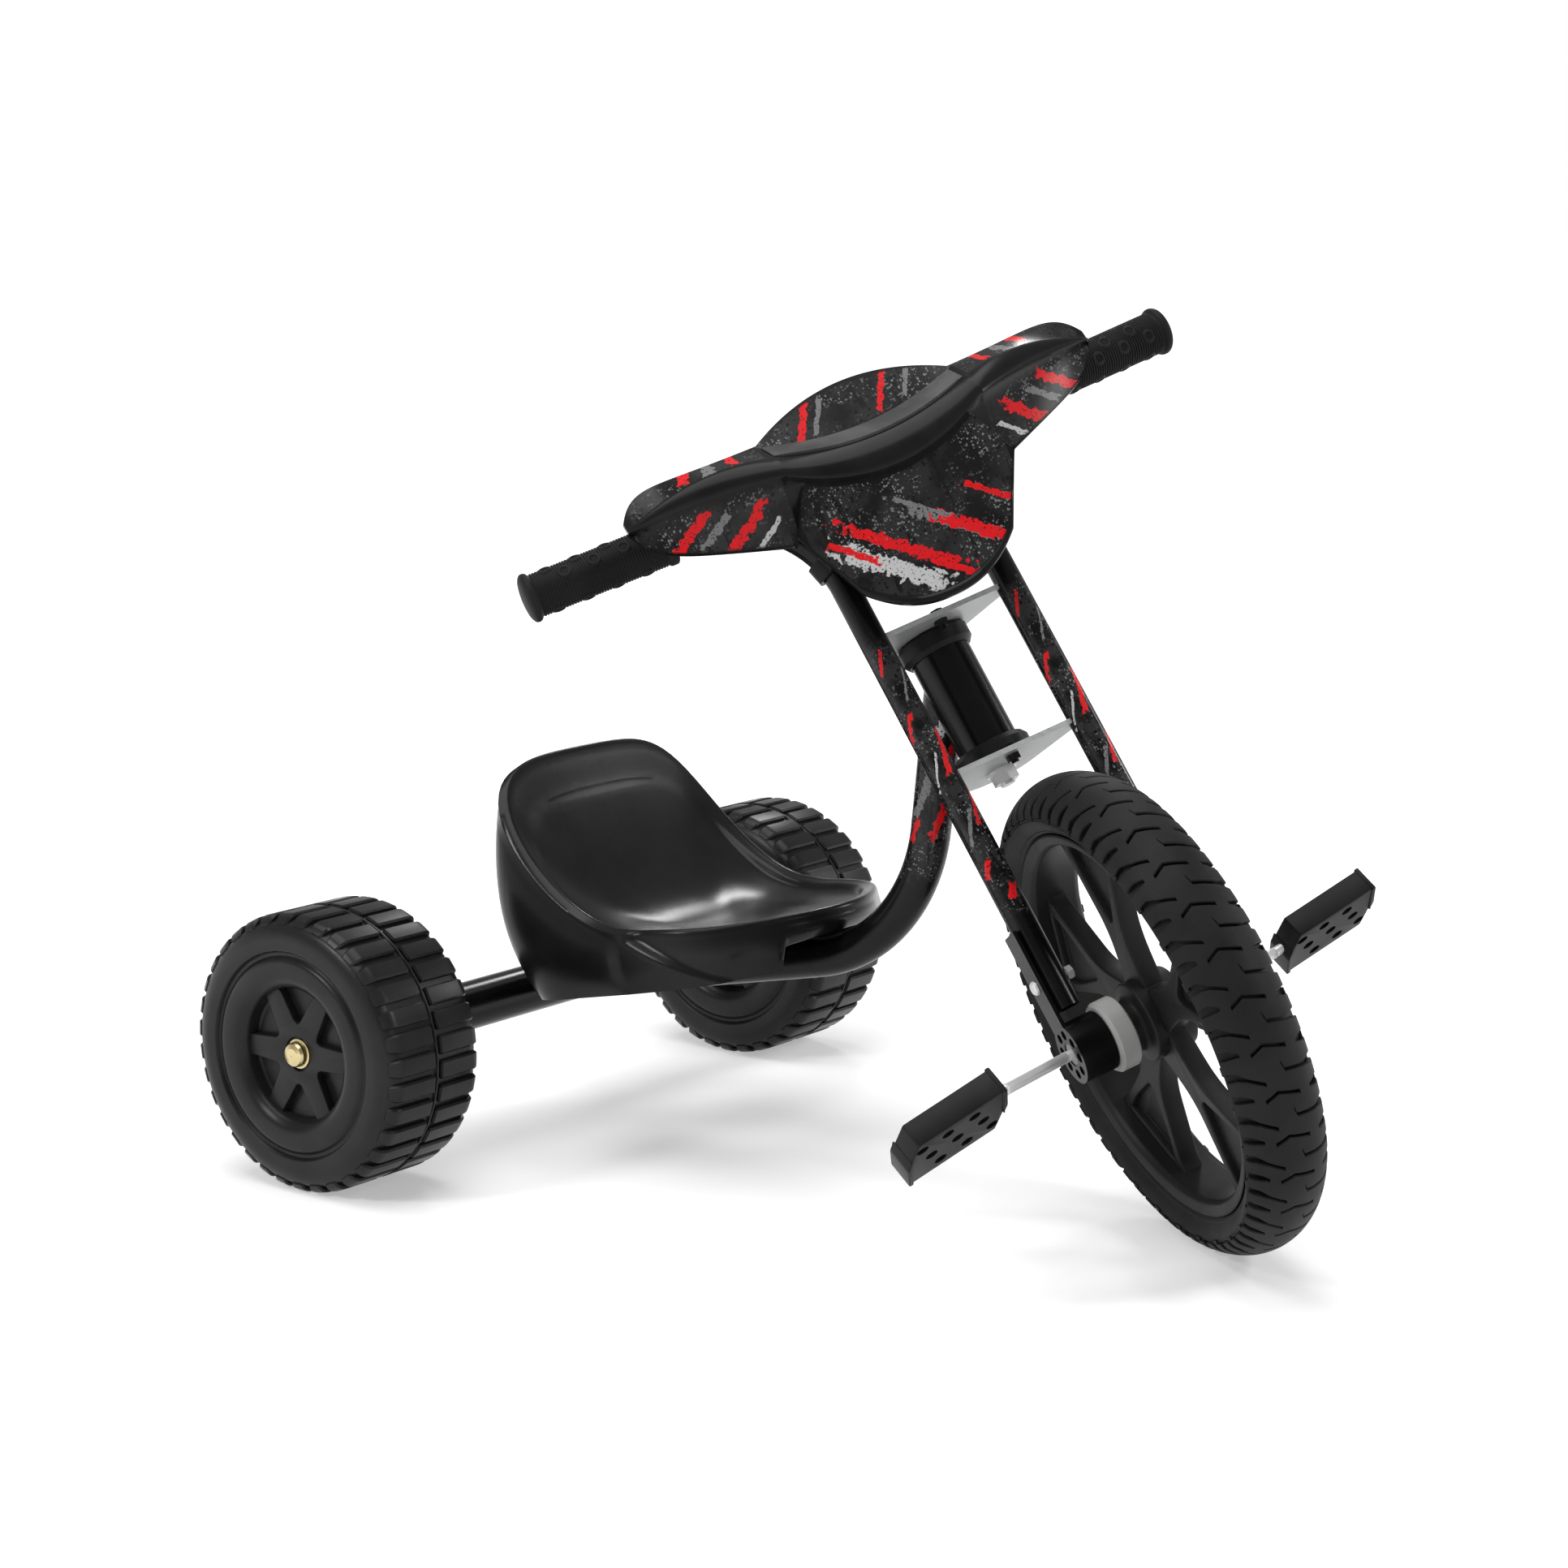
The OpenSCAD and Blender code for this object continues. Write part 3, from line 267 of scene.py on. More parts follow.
def clean(piece: Piece, crease: float = 38.0) -> Piece:
    """Welds doubles, turns the faces outwards and shades smooth up to the crease angle.

    Args:
        piece: The mesh object.
        crease: Angle in degrees past which an edge stays sharp.

    Returns:
        The same object.
    """
    work = bmesh.new()
    work.from_mesh(piece.data)
    bmesh.ops.remove_doubles(work, verts=work.verts, dist=2e-6)
    bmesh.ops.dissolve_degenerate(work, dist=1e-7, edges=work.edges)
    bmesh.ops.recalc_face_normals(work, faces=work.faces)
    work.to_mesh(piece.data)
    work.free()
    piece.data.shade_smooth()
    piece.data.set_sharp_from_angle(angle=math.radians(crease))
    return piece


def bake(piece: Piece) -> Piece:
    """Turns an object with live modifiers, or a curve, into a plain mesh object.

    Args:
        piece: The object to bake, which is removed.

    Returns:
        A mesh object of the same name.
    """
    name = piece.name
    bpy.context.view_layer.update()
    graph = bpy.context.evaluated_depsgraph_get()
    mesh = bpy.data.meshes.new_from_object(piece.evaluated_get(graph))
    bpy.data.objects.remove(piece)
    mesh.name = name
    return put(name, mesh)


def plate(
    name: str, outlines: Sequence[Sequence[Flat]], thick: float, edge: float, place: Matrix
) -> Piece:
    """Flat plate with rounded edges, out of an outline and its holes.

    Args:
        name: Name of the object.
        outlines: The outline and its holes, in millimetres.
        thick: Thickness, centred on the plane of the outline.
        edge: Rounding of the edges.
        place: Where the plate goes, in millimetres.

    Returns:
        A mesh object.
    """
    curve = bpy.data.curves.new(name, "CURVE")
    curve.dimensions = "2D"
    curve.fill_mode = "BOTH"
    curve.extrude = thick / 2 - edge
    curve.bevel_depth = edge
    curve.bevel_resolution = 2
    curve.offset = -edge
    for outline in outlines:
        spline = curve.splines.new("POLY")
        spline.points.add(len(outline) - 1)
        for point, (x, y) in zip(spline.points, outline):
            point.co = (x, y, 0, 1)
        spline.use_cyclic_u = True
    piece = bake(put(name, curve))
    piece.data.transform(METRES @ place)
    return clean(piece)


def join(name: str, pieces: Sequence[Piece]) -> Piece:
    """Joins mesh objects of one finish into one object.

    Args:
        name: Name of the joined object.
        pieces: Objects to join, which are removed.

    Returns:
        The joined object.
    """
    work = bmesh.new()
    for piece in pieces:
        work.from_mesh(piece.data)
        bpy.data.objects.remove(piece)
    mesh = bpy.data.meshes.new(name)
    work.to_mesh(mesh)
    work.free()
    return put(name, mesh)


def tread_block(
    path: Sequence[Flat],
    edges: Callable[[int], tuple[float, float, float, float]],
    depth: float,
    wheel_r: float,
) -> Shape:
    """Raised block of a tread that follows the wheel's own cross section.

    Args:
        path: Radius and height of the block's top, from one end to the other.
        edges: Start and end of the block round the wheel and the chamfer of each, by point of the path.
        depth: How far the block's walls go down.
        wheel_r: Radius at which the edges are measured.

    Returns:
        Points and faces of the block.
    """
    rings: list[list[Point]] = []
    last = len(path) - 1
    for i, (r, z) in enumerate(path):
        low = path[max(0, i - 1)]
        high = path[min(last, i + 1)]
        along = Vector((high[0] - low[0], high[1] - low[1])).normalized()
        out = Vector((along.y, -along.x))
        if out.x < 0:
            out = -out
        start, stop, first, second = edges(i)
        drop = max(first, second) if i in (0, last) else 0.0
        top = [mix(start + first, stop - second, k / 4) for k in range(5)]
        section = [(start, -depth), (start, -first - drop)] + [(s, -drop) for s in top]
        section += [(stop, -second - drop), (stop, -depth)]
        ring = []
        for s, h in section:
            radius = r + out.x * h
            ring.append((radius * math.cos(s / wheel_r), radius * math.sin(s / wheel_r), z + out.y * h))
        rings.append(ring)
    return skin(rings)


class Repeat:
    """Geometry Nodes tree that repeats a piece about and along the z axis."""

    NAME = "repeat_about_axis"

    def __init__(self) -> None:
        """Builds the tree with its named inputs."""
        self.tree = bpy.data.node_groups.new(self.NAME, "GeometryNodeTree")
        kinds = {
            "Piece": "NodeSocketGeometry",
            "Count": "NodeSocketInt",
            "Turn": "NodeSocketFloat",
            "Rise": "NodeSocketFloat",
            "Finish": "NodeSocketMaterial",
        }
        self.key = {
            word: self.tree.interface.new_socket(word, in_out="INPUT", socket_type=kind).identifier
            for word, kind in kinds.items()
        }
        self.tree.interface.new_socket("Copies", in_out="OUTPUT", socket_type="NodeSocketGeometry")
        nodes = self.tree.nodes
        enter = nodes.new("NodeGroupInput")
        leave = nodes.new("NodeGroupOutput")
        points = nodes.new("GeometryNodePoints")
        index = nodes.new("GeometryNodeInputIndex")
        angle = nodes.new("ShaderNodeMath")
        angle.operation = "MULTIPLY"
        height = nodes.new("ShaderNodeMath")
        height.operation = "MULTIPLY"
        spin = nodes.new("ShaderNodeCombineXYZ")
        stand = nodes.new("ShaderNodeCombineXYZ")
        copies = nodes.new("GeometryNodeInstanceOnPoints")
        real = nodes.new("GeometryNodeRealizeInstances")
        paint = nodes.new("GeometryNodeSetMaterial")
        wires = (
            (enter, "Count", points, "Count"), (index, "Index", angle, 0), (enter, "Turn", angle, 1),
            (index, "Index", height, 0), (enter, "Rise", height, 1), (angle, "Value", spin, "Z"),
            (height, "Value", stand, "Z"), (stand, "Vector", points, "Position"),
            (points, "Points", copies, "Points"), (enter, "Piece", copies, "Instance"),
            (spin, "Vector", copies, "Rotation"), (copies, "Instances", real, "Geometry"),
            (real, "Geometry", paint, "Geometry"), (enter, "Finish", paint, "Material"),
            (paint, "Geometry", leave, "Copies"))
        for source, output, target, entry in wires:
            self.tree.links.new(source.outputs[output], target.inputs[entry])

    def apply(
        self,
        piece: Piece,
        finish: Material,
        place: Matrix,
        count: int,
        turn: float | None = None,
        rise: float = 0.0,
    ) -> Piece:
        """Repeats a piece and bakes the copies into one mesh.

        Args:
            piece: The piece to repeat, made about the z axis at the origin.
            finish: Material of the copies.
            place: Where the axis goes, in millimetres.
            count: Number of copies.
            turn: Degrees from one copy to the next, or None to share out a full turn.
            rise: Millimetres from one copy to the next along the axis.

        Returns:
            A mesh object with all the copies in their place.
        """
        modifier = piece.modifiers.new("repeat", "NODES")
        modifier.node_group = self.tree
        modifier[self.key["Count"]] = count
        modifier[self.key["Turn"]] = math.tau / count if turn is None else math.radians(turn)
        modifier[self.key["Rise"]] = rise * MM
        modifier[self.key["Finish"]] = finish
        copies = bake(piece)
        copies.data.transform(in_metres(place))
        return copies


# Finishes


class Brush:
    """Short calls that build the node tree of one material."""

    def __init__(self, name: str) -> None:
        """Starts a material with an empty tree, a shader and object coordinates."""
        self.material = bpy.data.materials.new(name)
        self.material.use_nodes = True
        self.nodes = self.material.node_tree.nodes
        self.nodes.clear()
        self.out = self.add("ShaderNodeOutputMaterial")
        self.shader = self.add("ShaderNodeBsdfPrincipled")
        self.join(self.shader.outputs["BSDF"], self.out.inputs["Surface"])
        self.place = self.add("ShaderNodeTexCoord").outputs["Object"]

    def add(
        self, kind: str, inputs: dict[str | int, object] | None = None, **settings: object
    ) -> bpy.types.Node:
        """Adds a node, sets its properties and feeds its inputs."""
        node = self.nodes.new(kind)
        for word, value in settings.items():
            setattr(node, word, value)
        for key, value in (inputs or {}).items():
            self.feed(node.inputs[key], value)
        return node

    def join(self, start: Socket, stop: Socket) -> None:
        """Links two sockets."""
        self.material.node_tree.links.new(start, stop)

    def feed(self, socket: Socket, value: object) -> None:
        """Links a socket to another one, or sets it to a constant."""
        if isinstance(value, Socket):
            self.join(value, socket)
        else:
            socket.default_value = value

    def drive(self, word: str, value: object) -> None:
        """Feeds one input of the shader."""
        self.feed(self.shader.inputs[word], value)

    def noise(self, scale: float, detail: float = 3.0, place: Socket | None = None) -> Socket:
        """Noise factor at a scale in repeats per metre."""
        inputs = {"Vector": place or self.place, "Scale": scale, "Detail": detail}
        return self.add("ShaderNodeTexNoise", inputs).outputs["Fac"]

    def math(self, operation: str, first: object, second: object = 0.0, third: object = 0.0) -> Socket:
        """Result of a math node on sockets or numbers."""
        inputs = {0: first, 1: second, 2: third}
        return self.add("ShaderNodeMath", inputs, operation=operation).outputs["Value"]

    def span(
        self, value: object, low: float, high: float, to_low: float = 0.0, to_high: float = 1.0
    ) -> Socket:
        """Maps a range onto another, smoothly and held at the ends."""
        inputs = {"Value": value, "From Min": low, "From Max": high, "To Min": to_low, "To Max": to_high}
        return self.add("ShaderNodeMapRange", inputs, interpolation_type="SMOOTHSTEP").outputs["Result"]

    def blend(self, share: object, first: object, second: object) -> Socket:
        """Colour between two others."""
        node = self.add("ShaderNodeMix", {"Factor": share}, data_type="RGBA")
        colours = [s for s in node.inputs if s.type == "RGBA"]
        for socket, value in zip(colours, (first, second)):
            self.feed(socket, (*value, 1.0) if isinstance(value, tuple) else value)
        return [s for s in node.outputs if s.type == "RGBA"][0]

    def mapped(
        self,
        stretch: Point = (1.0, 1.0, 1.0),
        shift: Point = (0.0, 0.0, 0.0),
        place: Socket | None = None,
    ) -> Socket:
        """Coordinates stretched and shifted."""
        inputs = {"Vector": place or self.place, "Scale": stretch, "Location": shift}
        return self.add("ShaderNodeMapping", inputs).outputs["Vector"]

    def patch(self, place: Socket, middle: Flat, turn: float, half: Flat) -> Socket:
        """Coordinates in a turned patch, from -1 to 1 along each of its sides."""
        inputs = {"Vector": place, "Location": (*middle, 0.0), "Scale": (*half, 1.0),
                  "Rotation": (0.0, 0.0, math.radians(turn))}
        return self.add("ShaderNodeMapping", inputs, vector_type="TEXTURE").outputs["Vector"]

    def flecks(self, place: Socket, scale: float, largest: float) -> Socket:
        """Round flecks of random size, as a mask, at a scale in repeats per metre."""
        inputs = {"Vector": place, "Scale": scale}
        cells = self.add("ShaderNodeTexVoronoi", inputs, voronoi_dimensions="2D").outputs
        chance = self.add("ShaderNodeSeparateColor", {"Color": cells["Color"]}).outputs["Red"]
        size = self.math("MULTIPLY", self.math("POWER", chance, 3.0), largest)
        return self.span(self.math("SUBTRACT", size, cells["Distance"]), 0.0, 0.05)

    def dot(self, first: Socket, second: Point) -> Socket:
        """Dot product of coordinates and a direction."""
        inputs = {0: first, 1: second}
        return self.add("ShaderNodeVectorMath", inputs, operation="DOT_PRODUCT").outputs["Value"]

    def bump(self, height: Socket, depth: float) -> None:
        """Drives the shader's normal from a height, with the depth in metres."""
        inputs = {"Strength": 1.0, "Distance": depth, "Height": height}
        self.drive("Normal", self.add("ShaderNodeBump", inputs).outputs["Normal"])


@dataclass(frozen=True)
class Finish:
    """Moulded or painted surface with grain, faint colour drift and drifting gloss.

    Attributes:
        name: Name of the material.
        dark: Colour in the darker patches.
        light: Colour in the lighter patches.
        roughness: Lowest roughness.
        drift: How much rougher the dull patches are.
        grain: Repeats of the grain per metre.
        depth: Depth of the grain in metres.
        specular: Strength of the shader's reflection.
        metallic: Share of metal.
    """

    name: str
    dark: Colour
    light: Colour
    roughness: float
    drift: float = 0.1
    grain: float = 900.0
    depth: float = 0.0001
    specular: float = 0.3
    metallic: float = 0.0

    def start(self) -> Brush:
        """Starts the material with its constants, gloss and grain."""
        brush = Brush(self.name)
        brush.drive("Metallic", self.metallic)
        brush.drive("Specular IOR Level", self.specular)
        brush.drive("Roughness", self.dulled(brush, brush.noise(GLOSS_PATCHES, 4.0)))
        brush.bump(brush.noise(self.grain, 2.0), self.depth)
        return brush

    def dulled(self, brush: Brush, pattern: Socket) -> Socket:
        """Roughness that follows a pattern."""
        return brush.span(pattern, 0.3, 0.7, self.roughness, self.roughness + self.drift)

    def base(self, brush: Brush) -> Socket:
        """Colour that drifts between the two shades."""
        drift = brush.span(brush.noise(SHADE_PATCHES, 5.0), 0.35, 0.65)
        return brush.blend(drift, self.dark, self.light)

    def material(self) -> Material:
        """Builds the material."""
        brush = self.start()
        brush.drive("Base Color", self.base(brush))
        return brush.material


@dataclass(frozen=True)
class BrushedMetal(Finish):
    """Plated or drawn metal with fine lines along one direction.

    Attributes:
        along: Stretch of the lines on each axis, small along the draw.
    """

    along: Point = (1.0, 1.0, 1.0)

    def material(self) -> Material:
        """Builds the material."""
        brush = self.start()
        lines = brush.noise(self.grain, 3.0, brush.mapped(stretch=self.along))
        brush.drive("Base Color", brush.blend(lines, self.dark, self.light))
        brush.drive("Roughness", self.dulled(brush, lines))
        brush.bump(lines, self.depth)
        return brush.material


class Ink(Enum):
    """Inks of the prints, as colours."""

    GREY = (0.026, 0.026, 0.027)
    SILVER = (0.17, 0.17, 0.175)
    RED = (0.66, 0.012, 0.016)
    WHITE = (0.50, 0.50, 0.50)


@dataclass(frozen=True)
class Slash:
    """One torn slash of ink, in millimetres and degrees.

    Attributes:
        across: Place of its middle across the print.
        up: Place of its middle up the print.
        length: Length along its turn.
        width: Width across its turn.
        turn: Turn of its length from level.
        ink: Its ink.
    """

    across: float
    up: float
    length: float
    width: float
    turn: float
    ink: Ink

    def other_side(self) -> "Slash":
        """The same slash on the other side of the print."""
        return replace(self, across=-self.across, turn=-self.turn)


@dataclass(frozen=True)
class PrintDesign:
    """Print of torn slashes over grey smoke and flecks.

    Attributes:
        slashes: Slashes from the lowest layer to the topmost.
        smoke: Patches of smoke per metre.
        flecks: Flecks per metre.
        tear: Teeth of the torn edges per metre.
        wear: Worn spots in the ink per metre.
    """

    slashes: tuple[Slash, ...]
    smoke: float = 30.0
    flecks: float = 480.0
    tear: float = 190.0
    wear: float = 520.0

    def ground(self, brush: Brush, base: Socket, place: Socket) -> Socket:
        """Lays smoke and flecks over a base colour.

        Args:
            brush: The material being built.
            base: Colour under the print.
            place: Coordinates of the print in metres.

        Returns:
            The colour under the slashes.
        """
        smoke = brush.noise(self.smoke, 7.0, place)
        colour = brush.blend(brush.span(smoke, 0.38, 0.60), base, Ink.GREY.value)
        drips = brush.noise(self.smoke * 4, 3.0, brush.mapped(stretch=(1.0, 0.14, 1.0), place=place))
        colour = brush.blend(brush.span(drips, 0.60, 0.66), colour, base)
        shifted = brush.mapped(shift=(0.7, 0.2, 0.0), place=place)
        spray = brush.span(brush.noise(self.smoke * 0.9, 2.0, shifted), 0.42, 0.64)
        pale = brush.math("MULTIPLY", brush.flecks(place, self.flecks, 0.60), spray)
        colour = brush.blend(pale, colour, Ink.SILVER.value)
        return brush.blend(brush.flecks(place, self.flecks * 0.6, 0.5), colour, base)

    def over(self, brush: Brush, base: Socket, place: Socket) -> Socket:
        """Lays the whole print over a base colour.

        Args:
            brush: The material being built.
            base: Colour under the print.
            place: Coordinates of the print in metres.

        Returns:
            The printed colour.
        """
        colour = self.ground(brush, base, place)
        tear = brush.math("SUBTRACT", brush.noise(self.tear, 6.0, place), 0.5)
        worn = brush.span(brush.noise(self.wear, 3.0, place), 0.35, 0.43)
        for slash in self.slashes:
            half = (slash.length * MM / 2, slash.width * MM / 2)
            local = brush.patch(place, (slash.across * MM, slash.up * MM), slash.turn, half)
            split = brush.add("ShaderNodeSeparateXYZ", {"Vector": local}).outputs
            ends = brush.math("MULTIPLY_ADD", tear, 1.6, brush.math("ABSOLUTE", split["X"]))
            sides = brush.math("MULTIPLY_ADD", tear, 2.6, brush.math("ABSOLUTE", split["Y"]))
            shape = brush.span(brush.math("MAXIMUM", ends, sides), 1.0, 0.86)
            colour = brush.blend(brush.math("MULTIPLY", shape, worn), colour, slash.ink.value)
        return colour


@dataclass(frozen=True)
class PrintedSheet(Finish):
    """Moulded plastic printed where the mesh attribute named print says so."""

    design: PrintDesign = PrintDesign(())

    def material(self) -> Material:
        """Builds the material."""
        brush = self.start()
        base = self.base(brush)
        uv = brush.add("ShaderNodeUVMap", uv_map="sheet").outputs["UV"]
        printed = self.design.over(brush, base, uv)
        mask = brush.add("ShaderNodeAttribute", attribute_name="print").outputs["Fac"]
        brush.drive("Base Color", brush.blend(mask, base, printed))
        return brush.material


@dataclass(frozen=True)
class PrintedTube(Finish):
    """Gloss paint with a printed wrap on one stretch of a straight tube.

    Attributes:
        axis: Direction along the tube.
        face: Direction square to the tube that the middle of the print faces.
        origin: Point on the tube's middle line from which the stretch is measured, in metres.
        radius: Radius of the tube in metres.
        stretch: Start and end of the print along the tube, in metres.
        design: The print.
        fray: How far the print's ends are frayed, in metres.
        low_fade: Past the start, where the frayed print begins and is full, in metres.
        high_fade: Past the end, where the frayed print is gone and last full, in metres.
    """

    axis: Point = (0.0, 0.0, 1.0)
    face: Point = (1.0, 0.0, 0.0)
    origin: Point = (0.0, 0.0, 0.0)
    radius: float = 0.01
    stretch: Flat = (0.0, 0.1)
    design: PrintDesign = PrintDesign(())
    fray: float = 0.03
    low_fade: Flat = (0.010, 0.022)
    high_fade: Flat = (0.020, 0.008)

    def material(self) -> Material:
        """Builds the material."""
        brush = self.start()
        base = self.base(brush)
        away = brush.mapped(shift=tuple(-value for value in self.origin))
        side = tuple(Vector(self.axis).cross(Vector(self.face)))
        turn = brush.math("ARCTAN2", brush.dot(away, side), brush.dot(away, self.face))
        along = brush.dot(away, self.axis)
        around = brush.math("MULTIPLY", turn, self.radius)
        wrap = brush.add("ShaderNodeCombineXYZ", {"X": around, "Y": along})
        ragged = brush.math("MULTIPLY_ADD", brush.noise(120.0, 4.0), self.fray, along)
        low = brush.span(ragged, *(self.stretch[0] + past for past in self.low_fade))
        high = brush.span(ragged, *(self.stretch[1] + past for past in self.high_fade))
        printed = self.design.over(brush, base, wrap.outputs["Vector"])
        mask = brush.math("MULTIPLY", low, high)
        brush.drive("Base Color", brush.blend(mask, base, printed))
        return brush.material


# Slashes on the right wing of the shield, which the left wing mirrors
WING_SLASHES = (
    Slash(-118, 276, 40, 9, 30, Ink.RED), Slash(-140, 284, 34, 6, 30, Ink.SILVER),
    Slash(-158, 290, 40, 8, 30, Ink.RED), Slash(-104, 266, 26, 4, 30, Ink.WHITE),
    Slash(-124, 332, 30, 9, 70, Ink.SILVER), Slash(-106, 330, 20, 7, 80, Ink.RED),
    Slash(-142, 334, 20, 8, 60, Ink.RED),
)


@dataclass(frozen=True)
class Prints:
    """The three prints of the tricycle, with the stretch of each printed tube in metres."""

    shield: PrintDesign = PrintDesign((
        Slash(-34, 203, 92, 15, -38, Ink.WHITE), Slash(-20, 214, 104, 9, -38, Ink.RED),
        Slash(22, 216, 70, 7, -38, Ink.SILVER), Slash(38, 206, 66, 10, -38, Ink.RED),
        Slash(-58, 224, 40, 6, -38, Ink.RED), Slash(8, 188, 46, 6, -38, Ink.RED),
        Slash(60, 226, 44, 5, -38, Ink.RED), Slash(4, 236, 50, 4, -38, Ink.SILVER),
        *WING_SLASHES, *(slash.other_side() for slash in WING_SLASHES),
        Slash(-42, 334, 44, 6, 58, Ink.RED), Slash(-28, 336, 36, 4, 58, Ink.SILVER),
        Slash(26, 336, 40, 5, 58, Ink.RED), Slash(46, 334, 30, 4, 58, Ink.SILVER),
    ))
    leg: PrintDesign = PrintDesign((
        Slash(-7, 148, 22, 3, 66, Ink.RED), Slash(3, 128, 30, 2, 70, Ink.SILVER),
        Slash(-10, 96, 26, 4, 64, Ink.RED), Slash(6, 70, 40, 5, 74, Ink.RED),
        Slash(-7, 58, 30, 2, 66, Ink.WHITE), Slash(9, 26, 36, 4, 70, Ink.RED),
        Slash(-5, 8, 30, 3, 66, Ink.SILVER), Slash(-8, -24, 16, 5, 58, Ink.RED),
        Slash(2, -46, 14, 6, 60, Ink.RED),
    ), smoke=45.0)
    main: PrintDesign = PrintDesign((
        Slash(-16, -46, 60, 9, 72, Ink.WHITE), Slash(-4, -58, 64, 6, 72, Ink.RED),
        Slash(-24, -96, 52, 7, 72, Ink.SILVER), Slash(-8, -112, 44, 7, 72, Ink.RED),
        Slash(-30, -128, 24, 6, 72, Ink.RED), Slash(10, -80, 60, 4, 72, Ink.SILVER),
        Slash(18, -100, 50, 7, 72, Ink.RED), Slash(30, -60, 60, 7, 72, Ink.WHITE),
    ), smoke=40.0)
    leg_stretch: Flat = (-0.062, 0.165)
    main_stretch: Flat = (-0.165, 0.05)


def grey(level: float) -> Colour:
    """Neutral colour of one level."""
    return (level, level, level)


@dataclass(frozen=True)
class Palette:
    """All the finishes of the tricycle."""

    paint: Finish = Finish("gloss_black_paint", (0.003, 0.003, 0.0035), (0.005, 0.005, 0.0055), 0.20, 0.05,
                           grain=420.0, depth=0.00003, specular=0.20)
    seat: Finish = Finish("satin_seat_plastic", grey(0.0075), grey(0.0105), 0.21, 0.06,
                          grain=1100.0, depth=0.00006, specular=0.20)
    plastic: Finish = Finish("black_moulded_plastic", grey(0.008), grey(0.012), 0.36, 0.08,
                             grain=1300.0, depth=0.00005, specular=0.14)
    wheel: Finish = Finish("matt_wheel_plastic", grey(0.011), grey(0.016), 0.28, 0.08,
                           grain=1100.0, depth=0.00006, specular=0.20)
    rim: Finish = Finish("rim_plastic", grey(0.011), grey(0.016), 0.42, 0.10,
                         grain=1200.0, depth=0.00006, specular=0.16)
    tyre: Finish = Finish("tyre_rubber", grey(0.007), grey(0.012), 0.52, 0.12,
                          grain=900.0, depth=0.00012, specular=0.18)
    rubber: Finish = Finish("grip_rubber", grey(0.008), grey(0.012), 0.50, 0.12,
                            grain=1400.0, depth=0.00008, specular=0.14)
    pad: Finish = Finish("grained_pad", grey(0.045), grey(0.085), 0.60, 0.12,
                         grain=520.0, depth=0.0005, specular=0.25)
    zinc: BrushedMetal = BrushedMetal("zinc_plate", (0.36, 0.37, 0.38), grey(0.50), 0.42, 0.12,
                                      grain=300.0, depth=0.00004, specular=0.4, metallic=0.55,
                                      along=(0.2, 1.0, 1.0))
    steel: BrushedMetal = BrushedMetal("bright_steel", (0.70, 0.70, 0.71), grey(0.84), 0.40, 0.06,
                                       grain=60.0, depth=0.000004, specular=0.5, metallic=0.40,
                                       along=grey(0.3))
    brass: Finish = Finish("brass_cap", (0.60, 0.50, 0.27), (0.80, 0.71, 0.47), 0.20, 0.12,
                           grain=500.0, depth=0.00003, specular=0.5, metallic=0.9)
    nylon: Finish = Finish("grey_nylon", (0.30, 0.30, 0.29), (0.36, 0.36, 0.35), 0.45, 0.10,
                           grain=700.0, depth=0.00006, specular=0.3)


# Layout of the turned front


